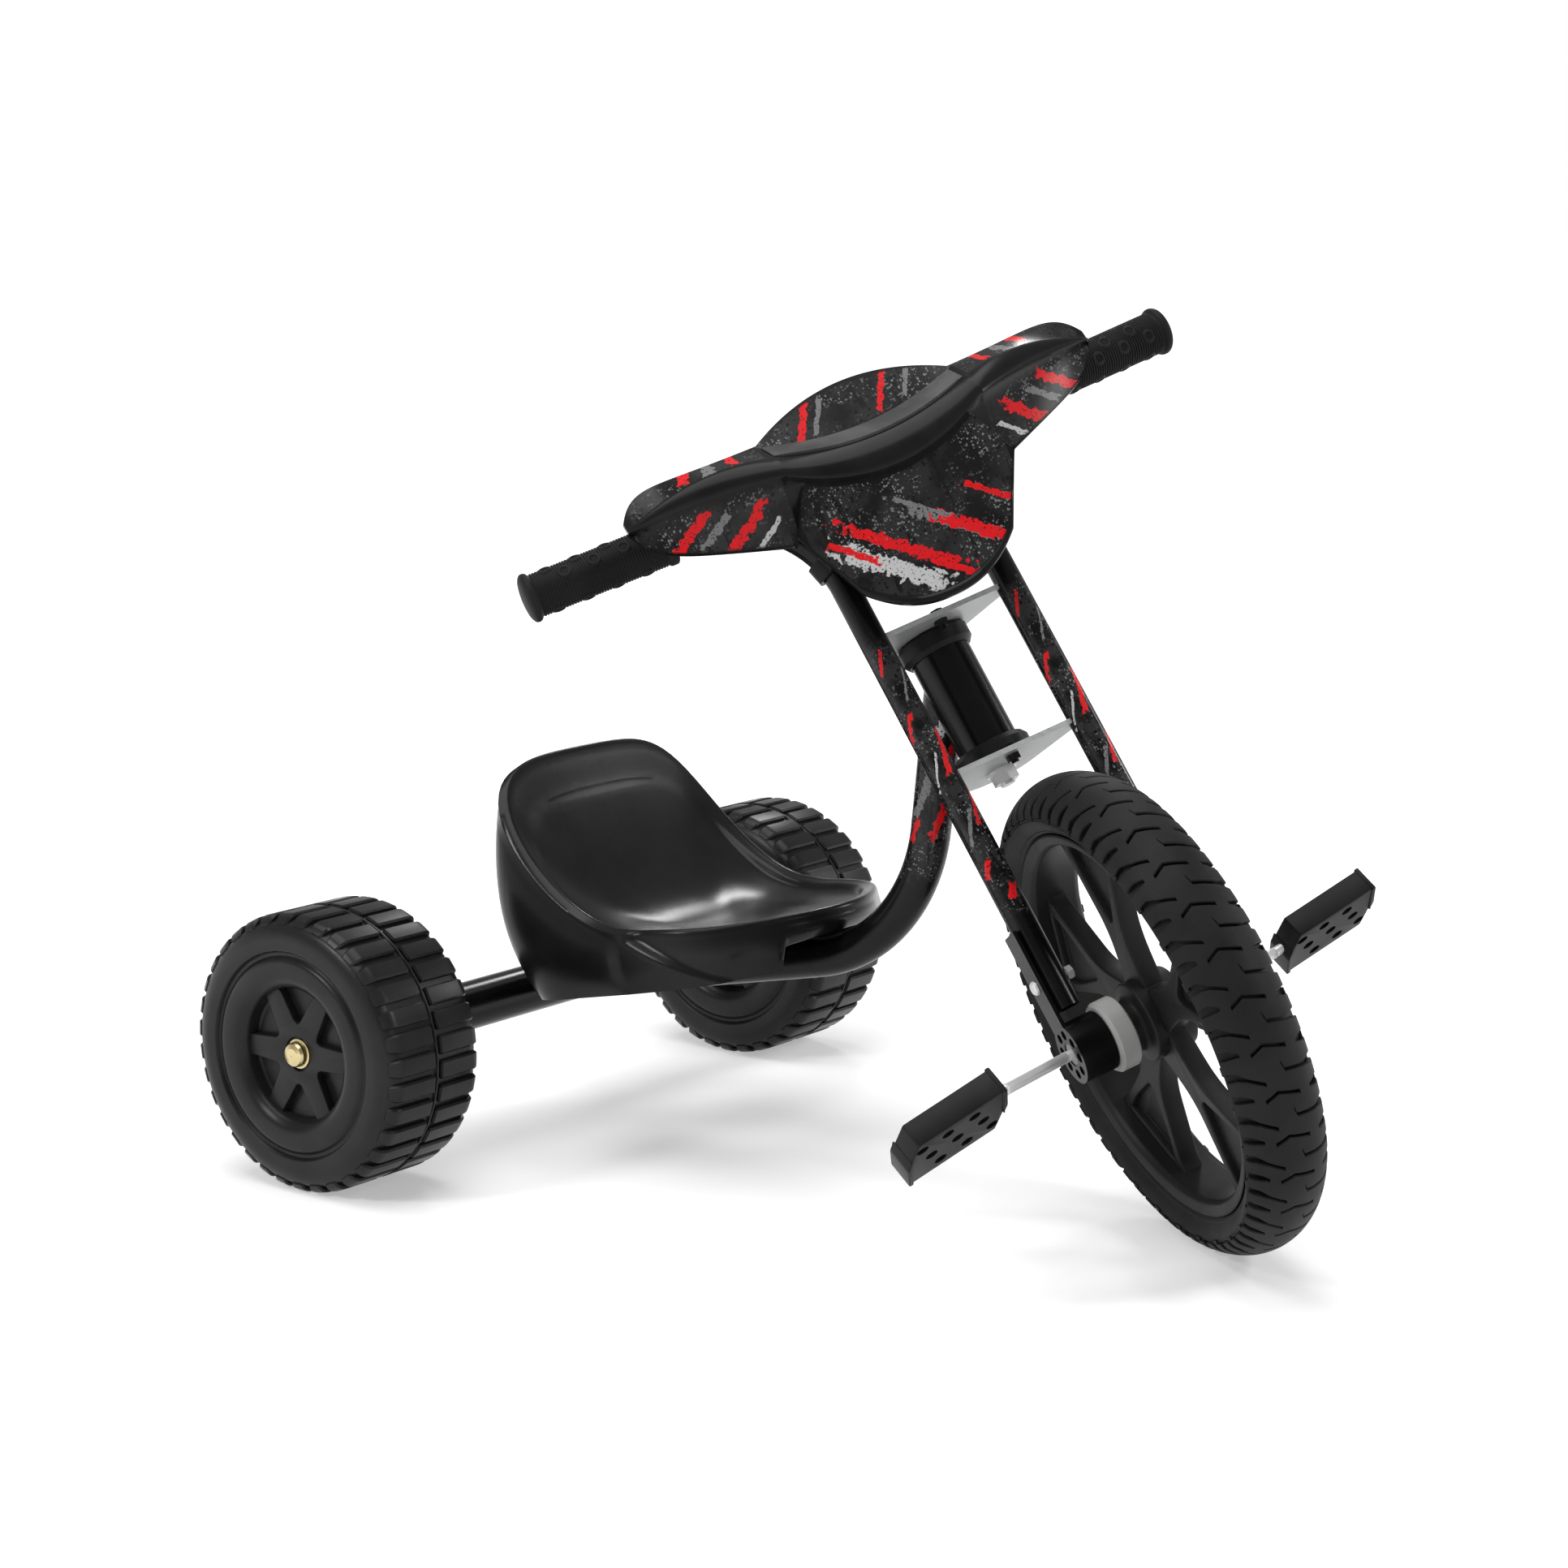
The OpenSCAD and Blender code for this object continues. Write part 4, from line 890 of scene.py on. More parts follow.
@dataclass(frozen=True)
class FrontLayout:
    """Where the pieces of the turned front sit, in millimetres and degrees."""

    axis_x: float = 476.3
    axis_z: float = 300.0
    rake: float = 34.65
    rest: float = -37.1
    leg_offset: float = 50.5
    leg_half: float = 58.7
    tube_d: float = 22.2
    tyre_r: float = 190.5
    tyre_w: float = 68.0
    bar_half: float = 280.0
    bar_u: float = 305.0
    bar_bend: float = 90.0
    bar_rise: float = 2.5
    bar_sweep: float = 4.8
    crank_r: float = 100.0
    crank_rest: float = -9.5
    spindle_tilt: float = 7.0
    crank_shift: float = -8.0
    pedal_gap: float = 83.0
    pedal_l: float = 85.0
    pedal_turn: float = -20.5
    main_d: float = 31.8
    main_up: float = 84.0
    joint_up: float = 139.7
    bracket_t: float = 3.0

    def main_joint(self) -> Point:
        """Place where the main tube's upper run meets the steering axis, in metres."""
        rake = math.radians(self.rake)
        return ((self.axis_x - self.joint_up * math.sin(rake)) * MM, 0.0,
                (self.axis_z + self.joint_up * math.cos(rake)) * MM)

    @property
    def crown_r(self) -> float:
        """Radius of the tyre's crown across its width."""
        return self.tyre_w * CROWN_SHARE

    @property
    def face_y(self) -> float:
        """Distance of the fork end's outer face from the middle plane."""
        return self.leg_half + self.tube_d / 2 + self.bracket_t

    @property
    def wheel_u(self) -> float:
        """Place of the wheel's middle along the steering axis, with the leaning tyre on the floor."""
        lean = math.sin(math.radians(self.rake)) * math.sin(-math.radians(self.rest))
        drop = (self.tyre_r - self.crown_r) * math.sqrt(1 - lean * lean) + self.crown_r
        lift = self.leg_offset * math.sin(math.radians(self.rake)) * math.cos(math.radians(self.rest))
        return (drop - self.axis_z - lift) / math.cos(math.radians(self.rake))

    def front(self) -> Matrix:
        """Frame of the front: x ahead of the steering axis, y to the left, z up the axis."""
        lean = turned(-self.rake, "Y")
        turn = turned(self.rest, "Z")
        return Matrix.Translation((self.axis_x, 0.0, self.axis_z)) @ lean @ turn

    def wheel(self) -> Matrix:
        """Frame of the front wheel, with z along the axle to the rider's left."""
        hub = Matrix.Translation((self.leg_offset, 0.0, self.wheel_u))
        return self.front() @ hub @ turned(-90, "X")

    def bar_end(self, side: Side) -> Matrix:
        """Frame of a bar's end, with z pointing out along the bar."""
        turn = math.radians(90 - self.bar_rise)
        reach = (self.bar_half - self.leg_half) / math.cos(math.radians(self.bar_sweep))
        run = (reach - self.bar_bend * (1 - math.cos(turn))) / math.sin(turn)
        leg = Matrix.Translation((self.leg_offset, side.value * self.leg_half, 0.0))
        swing = turned(side.value * (90 + self.bar_sweep), "Z")
        up = self.bar_u - self.bar_bend + self.bar_bend * math.sin(turn)
        knee = Matrix.Translation((self.bar_bend * (1 - math.cos(turn)), 0.0, up))
        out = Matrix.Rotation(turn, 4, "Y") @ lifted(run)
        return self.front() @ leg @ swing @ knee @ out

    def pedal(self, side: Side) -> Matrix:
        """Frame of a pedal about its middle: y along its spindle to the left, z square to its tread."""
        s = side.value
        crank = math.radians(self.crank_rest)
        arm = Vector((math.cos(crank), 0.0, math.sin(crank)))
        out = s * (self.face_y + self.pedal_gap + self.pedal_l / 2) + self.crank_shift
        middle = Vector((self.leg_offset, out, self.wheel_u)) - s * self.crank_r * arm
        tilt = turned(self.spindle_tilt, arm)
        turn = turned(self.pedal_turn, "Y")
        return self.front() @ Matrix.Translation(middle) @ tilt @ turn


@dataclass
class Workshop:
    """What every sub-assembly needs: the frame, the layout, the finishes and the repeat tree."""

    frame: dict
    layout: FrontLayout
    finishes: dict[str, Material]
    repeat: Repeat

    def dress(self, piece: Piece, finish: str, body: str, node: str) -> None:
        """Gives a new piece its finish and body, and hides the node that it stands for.

        Args:
            piece: The finished mesh object.
            finish: Name of the finish.
            body: Body that it moves with.
            node: Node that it replaces.
        """
        piece.data.materials.clear()
        piece.data.materials.append(self.finishes[finish])
        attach(piece, body)
        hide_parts(node)
        LOG.info("%s rides on %s", piece.name, body)

    def paint(self, finish: str, *nodes: str) -> None:
        """Gives nodes that stay in view a finish.

        Args:
            finish: Name of the finish.
            nodes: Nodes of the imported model.
        """
        for node in nodes:
            materials = self.frame["nodes"][node].data.materials
            materials.clear()
            materials.append(self.finishes[finish])
            LOG.info("%s takes %s", node, finish)


# Sub-assemblies


@dataclass
class Tyre:
    """Front tyre: carcass, tread blocks parted by hooked sipes and shoulder notches, and small knobs."""

    radius: float
    width: float
    lug_depth: float = 4.5
    lugs: int = 33
    bead_r: float = 152.0
    turn_steps: int = 160
    tread_half: float = 33.2
    sipe: float = 1.2
    notch_gap: float = 3.3
    notch_from: float = 17.0
    notch_run: float = 13.0
    soft_edge: float = 0.8
    long_line: tuple[Flat, ...] = (
        (-33.2, -4.0), (-27.0, -4.0), (-21.0, -2.0), (-15.5, 0.5), (-6.0, -4.0), (10.5, 2.6),
        (22.0, 5.0), (27.0, 6.0), (33.2, 7.0))
    short_line: tuple[Flat, ...] = (
        (-33.2, -4.0), (-28.0, -4.5), (-12.0, 5.5), (1.0, -6.0), (2.0, -6.5), (3.4, 0.0),
        (20.0, 5.0), (27.0, 6.0), (33.2, 7.0))
    long_cuts: tuple[Flat, ...] = ((-34.0, -22.0), (-15.5, 10.5), (20.0, 34.0))
    short_cuts: tuple[Flat, ...] = ((-34.0, -12.0), (2.0, 34.0))
    bends: tuple[float, ...] = (
        -28.0, -22.1, -21.9, -15.6, -15.5, -12.0, -11.9, -6.0, 1.9, 2.0, 3.4, 10.5, 10.6, 19.9, 20.1)
    stations: int = 26
    knob_rows: tuple[Flat, ...] = ((19.5, 31.6), (17.6, 32.4), (15.4, 32.9))
    knob_run: Flat = (5.0, 12.5)
    knob_edge: float = 0.4
    knob_depth: float = 3.0

    @property
    def crown(self) -> float:
        """Radius of the crown across the tyre."""
        return self.width * CROWN_SHARE

    @property
    def pitch(self) -> float:
        """Distance round the tyre from one block of the middle to the next."""
        return math.tau * self.radius / self.lugs

    def crown_point(self, across: float, drop: float = 0.0) -> Flat:
        """Radius and height of a point on the crown, let down by the drop."""
        lean = math.asin(across / self.crown)
        rest = self.radius - self.crown
        return (rest + (self.crown - drop) * math.cos(lean), (self.crown - drop) * math.sin(lean))

    def carcass(self) -> Piece:
        """Closed ring from bead to bead with moulding lines on each wall."""
        half = self.width / 2
        bead = self.bead_r
        wall = [(bead - 4, 17.0, 0.0), (bead + 2, 22.4, 1.0), (bead + 4.2, 24.6, 0.6),
                (bead + 5.0, 24.4, 0.6), (bead + 10, half - 5.2, 3.0), (bead + 15, half - 2.6, 2.0),
                (bead + 15.6, half - 3.2, 0.5), (bead + 16.4, half - 2.4, 0.5)]
        upper = [self.crown_point(30 - 2.5 * i, self.lug_depth) for i in range(25)]
        outer = wall + [(r, z, 0.0) for r, z in upper]
        outer += [(r, -z, f) for r, z, f in reversed(wall)]
        return clean(make("tyre_carcass", revolve(rounded(outer, 3), self.turn_steps)), crease=50)

    def notch(self, across: float) -> float:
        """Half the gap between two lugs at the outer edge of a shoulder."""
        return self.notch_gap * ease((abs(across) - self.notch_from) / self.notch_run)

    def sipe_at(self, line: Sequence[Flat], cuts: Sequence[Flat], across: float) -> Flat:
        """Place round the tyre of a sipe's middle, and half its gap, which is none where it isn't cut."""
        cut = any(low <= across <= high for low, high in cuts)
        return (follow(line, across), max(self.sipe, self.notch(across)) if cut else 0.0)

    def tread(self, first: bool) -> Shape:
        """One of the two blocks in each pitch, from shoulder to shoulder."""
        half = self.tread_half
        spread = {mix(-half, half, i / self.stations) for i in range(self.stations + 1)}
        places = sorted(spread.union(self.bends))

        def edges(i: int) -> tuple[float, float, float, float]:
            """Ends of the block at one station, with a chamfer where there is a gap."""
            low = self.sipe_at(self.long_line, self.long_cuts, places[i])
            high = self.sipe_at(self.short_line, self.short_cuts, places[i])
            soft = [min(self.soft_edge, 0.9 * gap) for _, gap in (low, high)]
            if first:
                return (low[0] + low[1], self.pitch / 2 + high[0] - high[1], soft[0], soft[1])
            return (self.pitch / 2 + high[0] + high[1], self.pitch + low[0] - low[1], soft[1], soft[0])

        path = [self.crown_point(across) for across in places]
        return tread_block(path, edges, self.lug_depth + 0.6, self.radius)

    def knob(self, side: Side) -> Shape:
        """Small block where the shoulder meets the wall."""
        path = [(self.bead_r + out, side.value * across) for out, across in self.knob_rows]
        ends = (*self.knob_run, self.knob_edge, self.knob_edge)
        return tread_block(path, lambda i: ends, self.knob_depth, self.radius)

    def build(self, shop: Workshop) -> None:
        """Builds the tyre and dresses it."""
        wheel = shop.layout.wheel()
        rubber = shop.finishes["tyre"]
        carcass = self.carcass()
        carcass.data.transform(in_metres(wheel))
        shapes = [self.tread(first) for first in (True, False)]
        shapes += [self.knob(side) for side in Side]
        blocks = join("tyre_blocks", [make("tyre_block", shape) for shape in shapes])
        pieces = [carcass, shop.repeat.apply(blocks, rubber, wheel, self.lugs)]
        tyre = clean(join("front_tyre", pieces), crease=30)
        shop.dress(tyre, "tyre", "front_wheel", "tyre")


@dataclass
class Rim:
    """Moulded rim: flanged ring, hub and five forked spokes with pockets."""

    radius: float = 153.0
    ring_depth: float = 11.0
    hub_r: float = 31.0
    hub_half: float = 17.0
    neck_r: float = 20.0
    neck_half: float = 28.0
    spokes: int = 5
    first_spoke: float = 4.0
    spoke_depth: float = 16.0
    spoke_edge: float = 1.6
    web: float = 5.0
    web_edge: float = 0.4
    bore: float = 4.0
    crease: float = 40.0

    def ring(self) -> Shape:
        """Flanged ring that carries the tyre."""
        r = self.radius
        inner = r - self.ring_depth
        half = [(inner, 17.0, 1.2), (inner + 2.6, 21.3, 1.5), (r - 1.5, 23.9, 0.8), (r, 23.4, 0.4),
                (r - 0.4, 22.4, 0.4), (r - 5.1, 17.1, 1.5)]
        return revolve(rounded(mirrored(half), 4), 144)

    def hub(self) -> Shape:
        """Barrel round the axle with a narrower neck at each side."""
        upper = [(self.hub_r, self.hub_half, 2.0), (self.neck_r, self.hub_half + 1, 4.0),
                 (self.neck_r, self.neck_half, 1.0), (self.bore, self.neck_half, 0.0)]
        return revolve(rounded([(r, -h, f) for r, h, f in reversed(upper)] + upper, 4), 64)

    def spoke_outline(self) -> list[Flat]:
        """Forked spoke along x, from the hub into the ring."""
        a = self.hub_r
        b = self.radius - self.ring_depth
        half = [(a - 6, 18.0, 0.0), (a + 12, 15.0, 10.0), (a + 30, 13.5, 14.0), (a + 46, 16.0, 14.0),
                (b - 30, 31.0, 14.0), (b - 10, 40.0, 10.0), (b - 3, 50.0, 3.0)]
        return rounded(mirrored(half), 5)

    def pocket_outline(self, grow: float = 0.0) -> list[Flat]:
        """Three sided pocket in the fork of a spoke, grown all round by the given amount."""
        a = self.hub_r
        b = self.radius - self.ring_depth
        half = [(a + 46 - grow, 3.0 + grow * 0.5, 3.0), (b - 30, 23.0 + grow, 8.0),
                (b - 7 + grow, 31.5 + grow, 4.0)]
        return rounded(mirrored(half), 4)

    def slit(self) -> list[Flat]:
        """Slit through the pocket's floor, next to the ring."""
        b = self.radius - self.ring_depth
        half = [(b - 13.5, 16.0, 2.0), (b - 9.4, 17.0, 1.5)]
        return rounded(mirrored(half), 3)

    def build(self, shop: Workshop) -> None:
        """Builds the rim and dresses it."""
        wheel = shop.layout.wheel()
        phased = wheel @ turned(self.first_spoke, "Z")
        plastic = shop.finishes["rim"]
        flat = Matrix.Identity(4)
        outlines = [self.spoke_outline(), self.pocket_outline()]
        spoke = plate("rim_spoke", outlines, self.spoke_depth, self.spoke_edge, flat)
        floor = [self.pocket_outline(1.0), self.slit()]
        web = plate("rim_web", floor, self.web, self.web_edge, flat)
        arms = join("rim_arm", [spoke, web])
        pieces = [clean(make("rim_ring", self.ring(), wheel), self.crease),
                  clean(make("rim_hub", self.hub(), wheel), self.crease),
                  shop.repeat.apply(arms, plastic, phased, self.spokes)]
        rim = join("front_rim", pieces)
        rim.data.shade_smooth()
        rim.data.set_sharp_from_angle(angle=math.radians(self.crease))
        shop.dress(rim, "rim", "front_wheel", "rim")


@dataclass
class RearWheel:
    """Hollow moulded rear wheel with two rows of ribs and a spoked hub recess on each face."""

    radius: float = 111.5
    width: float = 105.0
    track: float = 537.0
    ribs: int = 35
    rib_depth: float = 4.0
    rib_root: float = 2.2
    rib_edge: float = 1.5
    recess_r: float = 57.0
    spokes: int = 6
    bore: float = 6.4
    star_depth: float = 10.0
    spoke_half: float = 8.2
    notch_r: float = 21.0
    star_t: float = 12.0
    star_bore: float = 13.4
    star_edge: float = 0.9

    def face(self) -> list[Corner]:
        """Profile of one face from the hub to the tread: radius, depth under the face, rounding."""
        r = self.radius
        rec = self.recess_r
        base = r - self.rib_depth
        groove = mix(rec + 5, r - 20, 0.62)
        return [(self.bore, 15.2, 0.0), (24.0, 15.2, 1.0), (25.0, 17.5, 1.0), (rec - 5, 17.5, 2.5),
                (rec - 3.5, 6.5, 3.0), (rec + 2.5, 1.2, 4.5), (rec + 10, 0.3, 6.0),
                (groove - 4.5, 0.9, 3.0), (groove - 1.4, 4.3, 1.0), (groove + 1.4, 4.4, 0.8),
                (groove + 3.2, 0.9, 0.9),
                (r - 18, 1.0, 3.0), (r - 12.5, 2.4, 4.0), (r - 7.4, 5.2, 4.0), (base - 0.5, 12.5, 4.0)]

    def body(self) -> Shape:
        """Closed skin of the wheel without its ribs and stars."""
        h = self.width / 2
        outer = [(r, h - d, f) for r, d, f in self.face()]
        base = self.radius - self.rib_depth
        seam = [(base, 1.7, 0.4), (base + 2.6, 0.8, 0.4), (base + 2.6, -0.8, 0.4), (base, -1.7, 0.4)]
        corners = outer + seam + [(r, -z, f) for r, z, f in reversed(outer)]
        return revolve(rounded(corners, 4), 120)

    def rib(self, side: Side) -> Shape:
        """One tread rib of one row."""
        s = side.value
        h = self.width / 2
        r = self.radius
        path = [(r - 0.9, s * 2.6), (r, s * 4.2), (r, s * (h - 15)), (r - 0.6, s * (h - 11.5)),
                (r - 2.2, s * (h - 8.3)), (r - 4.6, s * (h - 6.0)), (r - 7.2, s * (h - 4.5)),
                (r - 9.0, s * (h - 4.2))]
        edge = (self.rib_edge, self.rib_edge)
        pitch = math.tau * r / self.ribs
        half = [share * pitch for share in (0.36, 0.37, 0.37, 0.37, 0.36, 0.34, 0.31, 0.27)]
        return tread_block(path, lambda i: (-half[i], half[i], *edge), self.rib_depth + self.rib_root, r)

    def star(self) -> list[Flat]:
        """Hub plate with its spokes."""
        corners: list[Corner] = []
        for i in range(self.spokes):
            turn = Matrix.Rotation(math.tau * i / self.spokes, 2)
            half_step = Matrix.Rotation(math.tau * (i + 0.5) / self.spokes, 2)
            for across in (-self.spoke_half, self.spoke_half):
                corners.append((*(turn @ Vector((self.recess_r - 2, across))), 0.0))
            corners.append((*(half_step @ Vector((self.notch_r, 0.0))), 8.0))
        return rounded(corners, 5)

    def build(self, shop: Workshop) -> None:
        """Builds both rear wheels and dresses them."""
        plastic = shop.finishes["wheel"]
        h = self.width / 2
        for side in Side:
            place = Matrix.Translation((0.0, side.value * self.track / 2, self.radius))
            place = place @ turned(-90, "X")
            pieces = [clean(make("wheel_body", self.body(), place), crease=34)]
            for row in Side:
                rib = make("wheel_rib", self.rib(row))
                shift = turned(row.value * 90 / self.ribs, "Z")
                pieces.append(clean(shop.repeat.apply(rib, plastic, place @ shift, self.ribs), crease=26))
                lift = lifted(row.value * (h - self.star_depth - self.star_t / 2))
                outlines = [self.star(), circle(self.star_bore)]
                pieces.append(plate("wheel_star", outlines, self.star_t, self.star_edge, place @ lift))
            wheel = join(f"rear_{side.word}_wheel", pieces)
            body = f"rear_wheel_{side.word}"
            shop.dress(wheel, "wheel", body, body)


@dataclass
class Seat:
    """Bucket seat shell: pan, rolled rim and bulged wall down to a notched skirt."""

    tube_r: float
    axle_z: float
    length: float = 262.0
    width: float = 250.0
    back_high: float = 196.0
    side_high: float = 50.0
    wall: float = 4.0
    back_at: float = 58.0
    square: float = 7.0
    pan_high: float = 36.0
    tube_gap: float = 1.5
    tube_run: float = 282.5
    tube_bend: float = 136.5
    skirt_out: float = 3.0
    rise: float = 12.0
    steps: int = 168
    middle_share: float = 0.49
    front_share: float = 0.485
    back_share: float = 0.45
    nose_taper: float = 0.10
    pan_power: float = 2.6
    pan_shift: float = 14.0
    band_depth: float = 4.0
    climb_from: float = 26.0
    climb_power: float = 2.2
    corner_drop: float = 0.14
    nose_drop: float = 8.0
    front_notch: float = 60.0
    back_notch: float = 40.0
    back_bulge: float = 11.0
    flare_out: float = 5.0
    crease: Flat = (20.0, 90.0)
    lip: float = 7.0

    @property
    def middle(self) -> float:
        """Place of the rings' middle along the main tube."""
        return self.back_at + self.length * self.middle_share

    def radius(self, turn: float, grow: float) -> float:
        """Reach of the outline at an angle in radians, grown by an amount."""
        c = math.cos(turn)
        s = math.sin(turn)
        long = self.length * (self.front_share if c > 0 else self.back_share) + grow
        wide = self.width / 2 * (1 - self.nose_taper * max(0.0, c)) + grow
        power = mix(2.0, self.square, ease((1 - c) / 1.7))
        return (abs(c / long) ** power + abs(s / wide) ** power) ** (-1 / power)

    def rim(self, turn: float) -> float:
        """Height of the rim."""
        reach = self.radius(turn, 0.0)
        x = reach * math.cos(turn)
        y = reach * math.sin(turn)
        run = self.length * self.back_share + self.climb_from
        climb = clamp01((self.climb_from - x) / run) ** self.climb_power
        arch = 1 - self.corner_drop * (abs(y) / (self.width / 2)) ** 3 if math.cos(turn) < 0 else 1.0
        low = self.side_high - self.nose_drop * ease(x / (self.length * self.front_share))
        return low + (self.back_high - self.side_high) * climb * arch

    def tube_rise(self, at: float) -> float:
        """Rise of the main tube at a place along it, past the start of its bend."""
        past = max(0.0, at - self.tube_run)
        return self.tube_bend - math.sqrt(self.tube_bend**2 - past**2)

    def foot(self, turn: float) -> float:
        """Height of the skirt's lower edge, raised where the main tube passes."""
        reach = self.radius(turn, 0.0)
        y = abs(reach * math.sin(turn))
        ahead = math.cos(turn) > 0
        lift = self.tube_r + self.tube_gap
        if ahead:
            lift += self.tube_rise(self.middle + reach * math.cos(turn) + self.skirt_out)
        half = self.front_notch if ahead else self.back_notch
        return lift * ease((half + 2 - y) / 4)

    def turns(self) -> list[float]:
        """Angles of the points of a ring."""
        return [math.tau * j / self.steps for j in range(self.steps)]

    def sink(self, share: float, turn: float) -> float:
        """How far the pan lies under the rounded band along the rim, which fades out up the back."""
        depth = self.band_depth * (1 - 0.85 * ease((-math.cos(turn) - 0.25) / 0.5))
        return depth * ease((share - 0.07) / 0.055) * (1 - ease((share - 0.3) / 0.35))

    def pan_ring(self, share: float, drop: float, inset: float) -> list[Point]:
        """Ring drawn in from the rim by a share and sunk towards the pan."""
        ring = []
        for turn in self.turns():
            reach = self.radius(turn, -inset)
            climb = self.rim(turn) - self.pan_high
            slope = self.pan_power * climb * (1 - share) ** 1.6 / reach
            sunk = self.sink(share, turn) / math.hypot(1.0, slope)
            out = reach * (1 - share) + slope * sunk
            high = self.pan_high + climb * (1 - share) ** self.pan_power - drop - sunk
            middle = self.middle + self.pan_shift * share
            ring.append((middle + out * math.cos(turn), out * math.sin(turn), high))
        return ring

    def wall_ring(self, share: float, grow: float, lift: float = 0.0) -> list[Point]:
        """Ring down the wall by a share of its height."""
        back_bow = self.back_bulge * math.sin(math.radians(166 * share**0.9)) - 10 * share**4
        side_bow = 3 * math.sin(math.pi * share) - 5 * share
        ring = []
        for turn in self.turns():
            back = math.sqrt(max(0.0, -math.cos(turn)))
            x = self.radius(turn, 0.0) * math.cos(turn)
            flare = self.flare_out * ease((mix(*self.crease, share) - x) / 14) * abs(math.sin(turn))
            reach = self.radius(turn, grow + flare + mix(side_bow, back_bow, back))
            high = mix(self.rim(turn) - self.lip, self.foot(turn), share) + lift
            ring.append((self.middle + reach * math.cos(turn), reach * math.sin(turn), high))
        return ring

    def build(self, shop: Workshop) -> None:
        """Builds the shell and dresses it."""
        pan = [0.97, 0.9, 0.82, 0.74, 0.66, 0.58, 0.5, 0.43, 0.36, 0.3, 0.25, 0.21, 0.18, 0.155, 0.138]
        pan += [0.126, 0.116, 0.107, 0.098, 0.089, 0.08, 0.07, 0.056, 0.042, 0.028]
        rings = [self.pan_ring(share, 0.0, 0.0) for share in pan]
        rings += [self.pan_ring(0.014, -0.3, 0.0), self.pan_ring(0.004, -0.1, -0.4)]
        rings += [self.pan_ring(0.0, 0.8, -1.6)]
        rings += [self.wall_ring(0.0, 2.5, 4.2), self.wall_ring(0.0, 2.9, 2.2)]
        down = [i / 16 for i in range(17)]
        rings += [self.wall_ring(share, self.skirt_out) for share in down]
        inner = self.skirt_out - self.wall
        rings += [self.wall_ring(share, inner, -1.0 if share == 0 else 0.0) for share in reversed(down)]
        rings += [self.pan_ring(share, self.wall, 1.5) for share in reversed(pan[:-4])]
        place = lifted(self.axle_z) @ turned(-self.rise, "Y")
        seat = clean(make("bucket_seat", skin(rings), place), crease=50)
        shop.dress(seat, "seat", "frame", "seat")


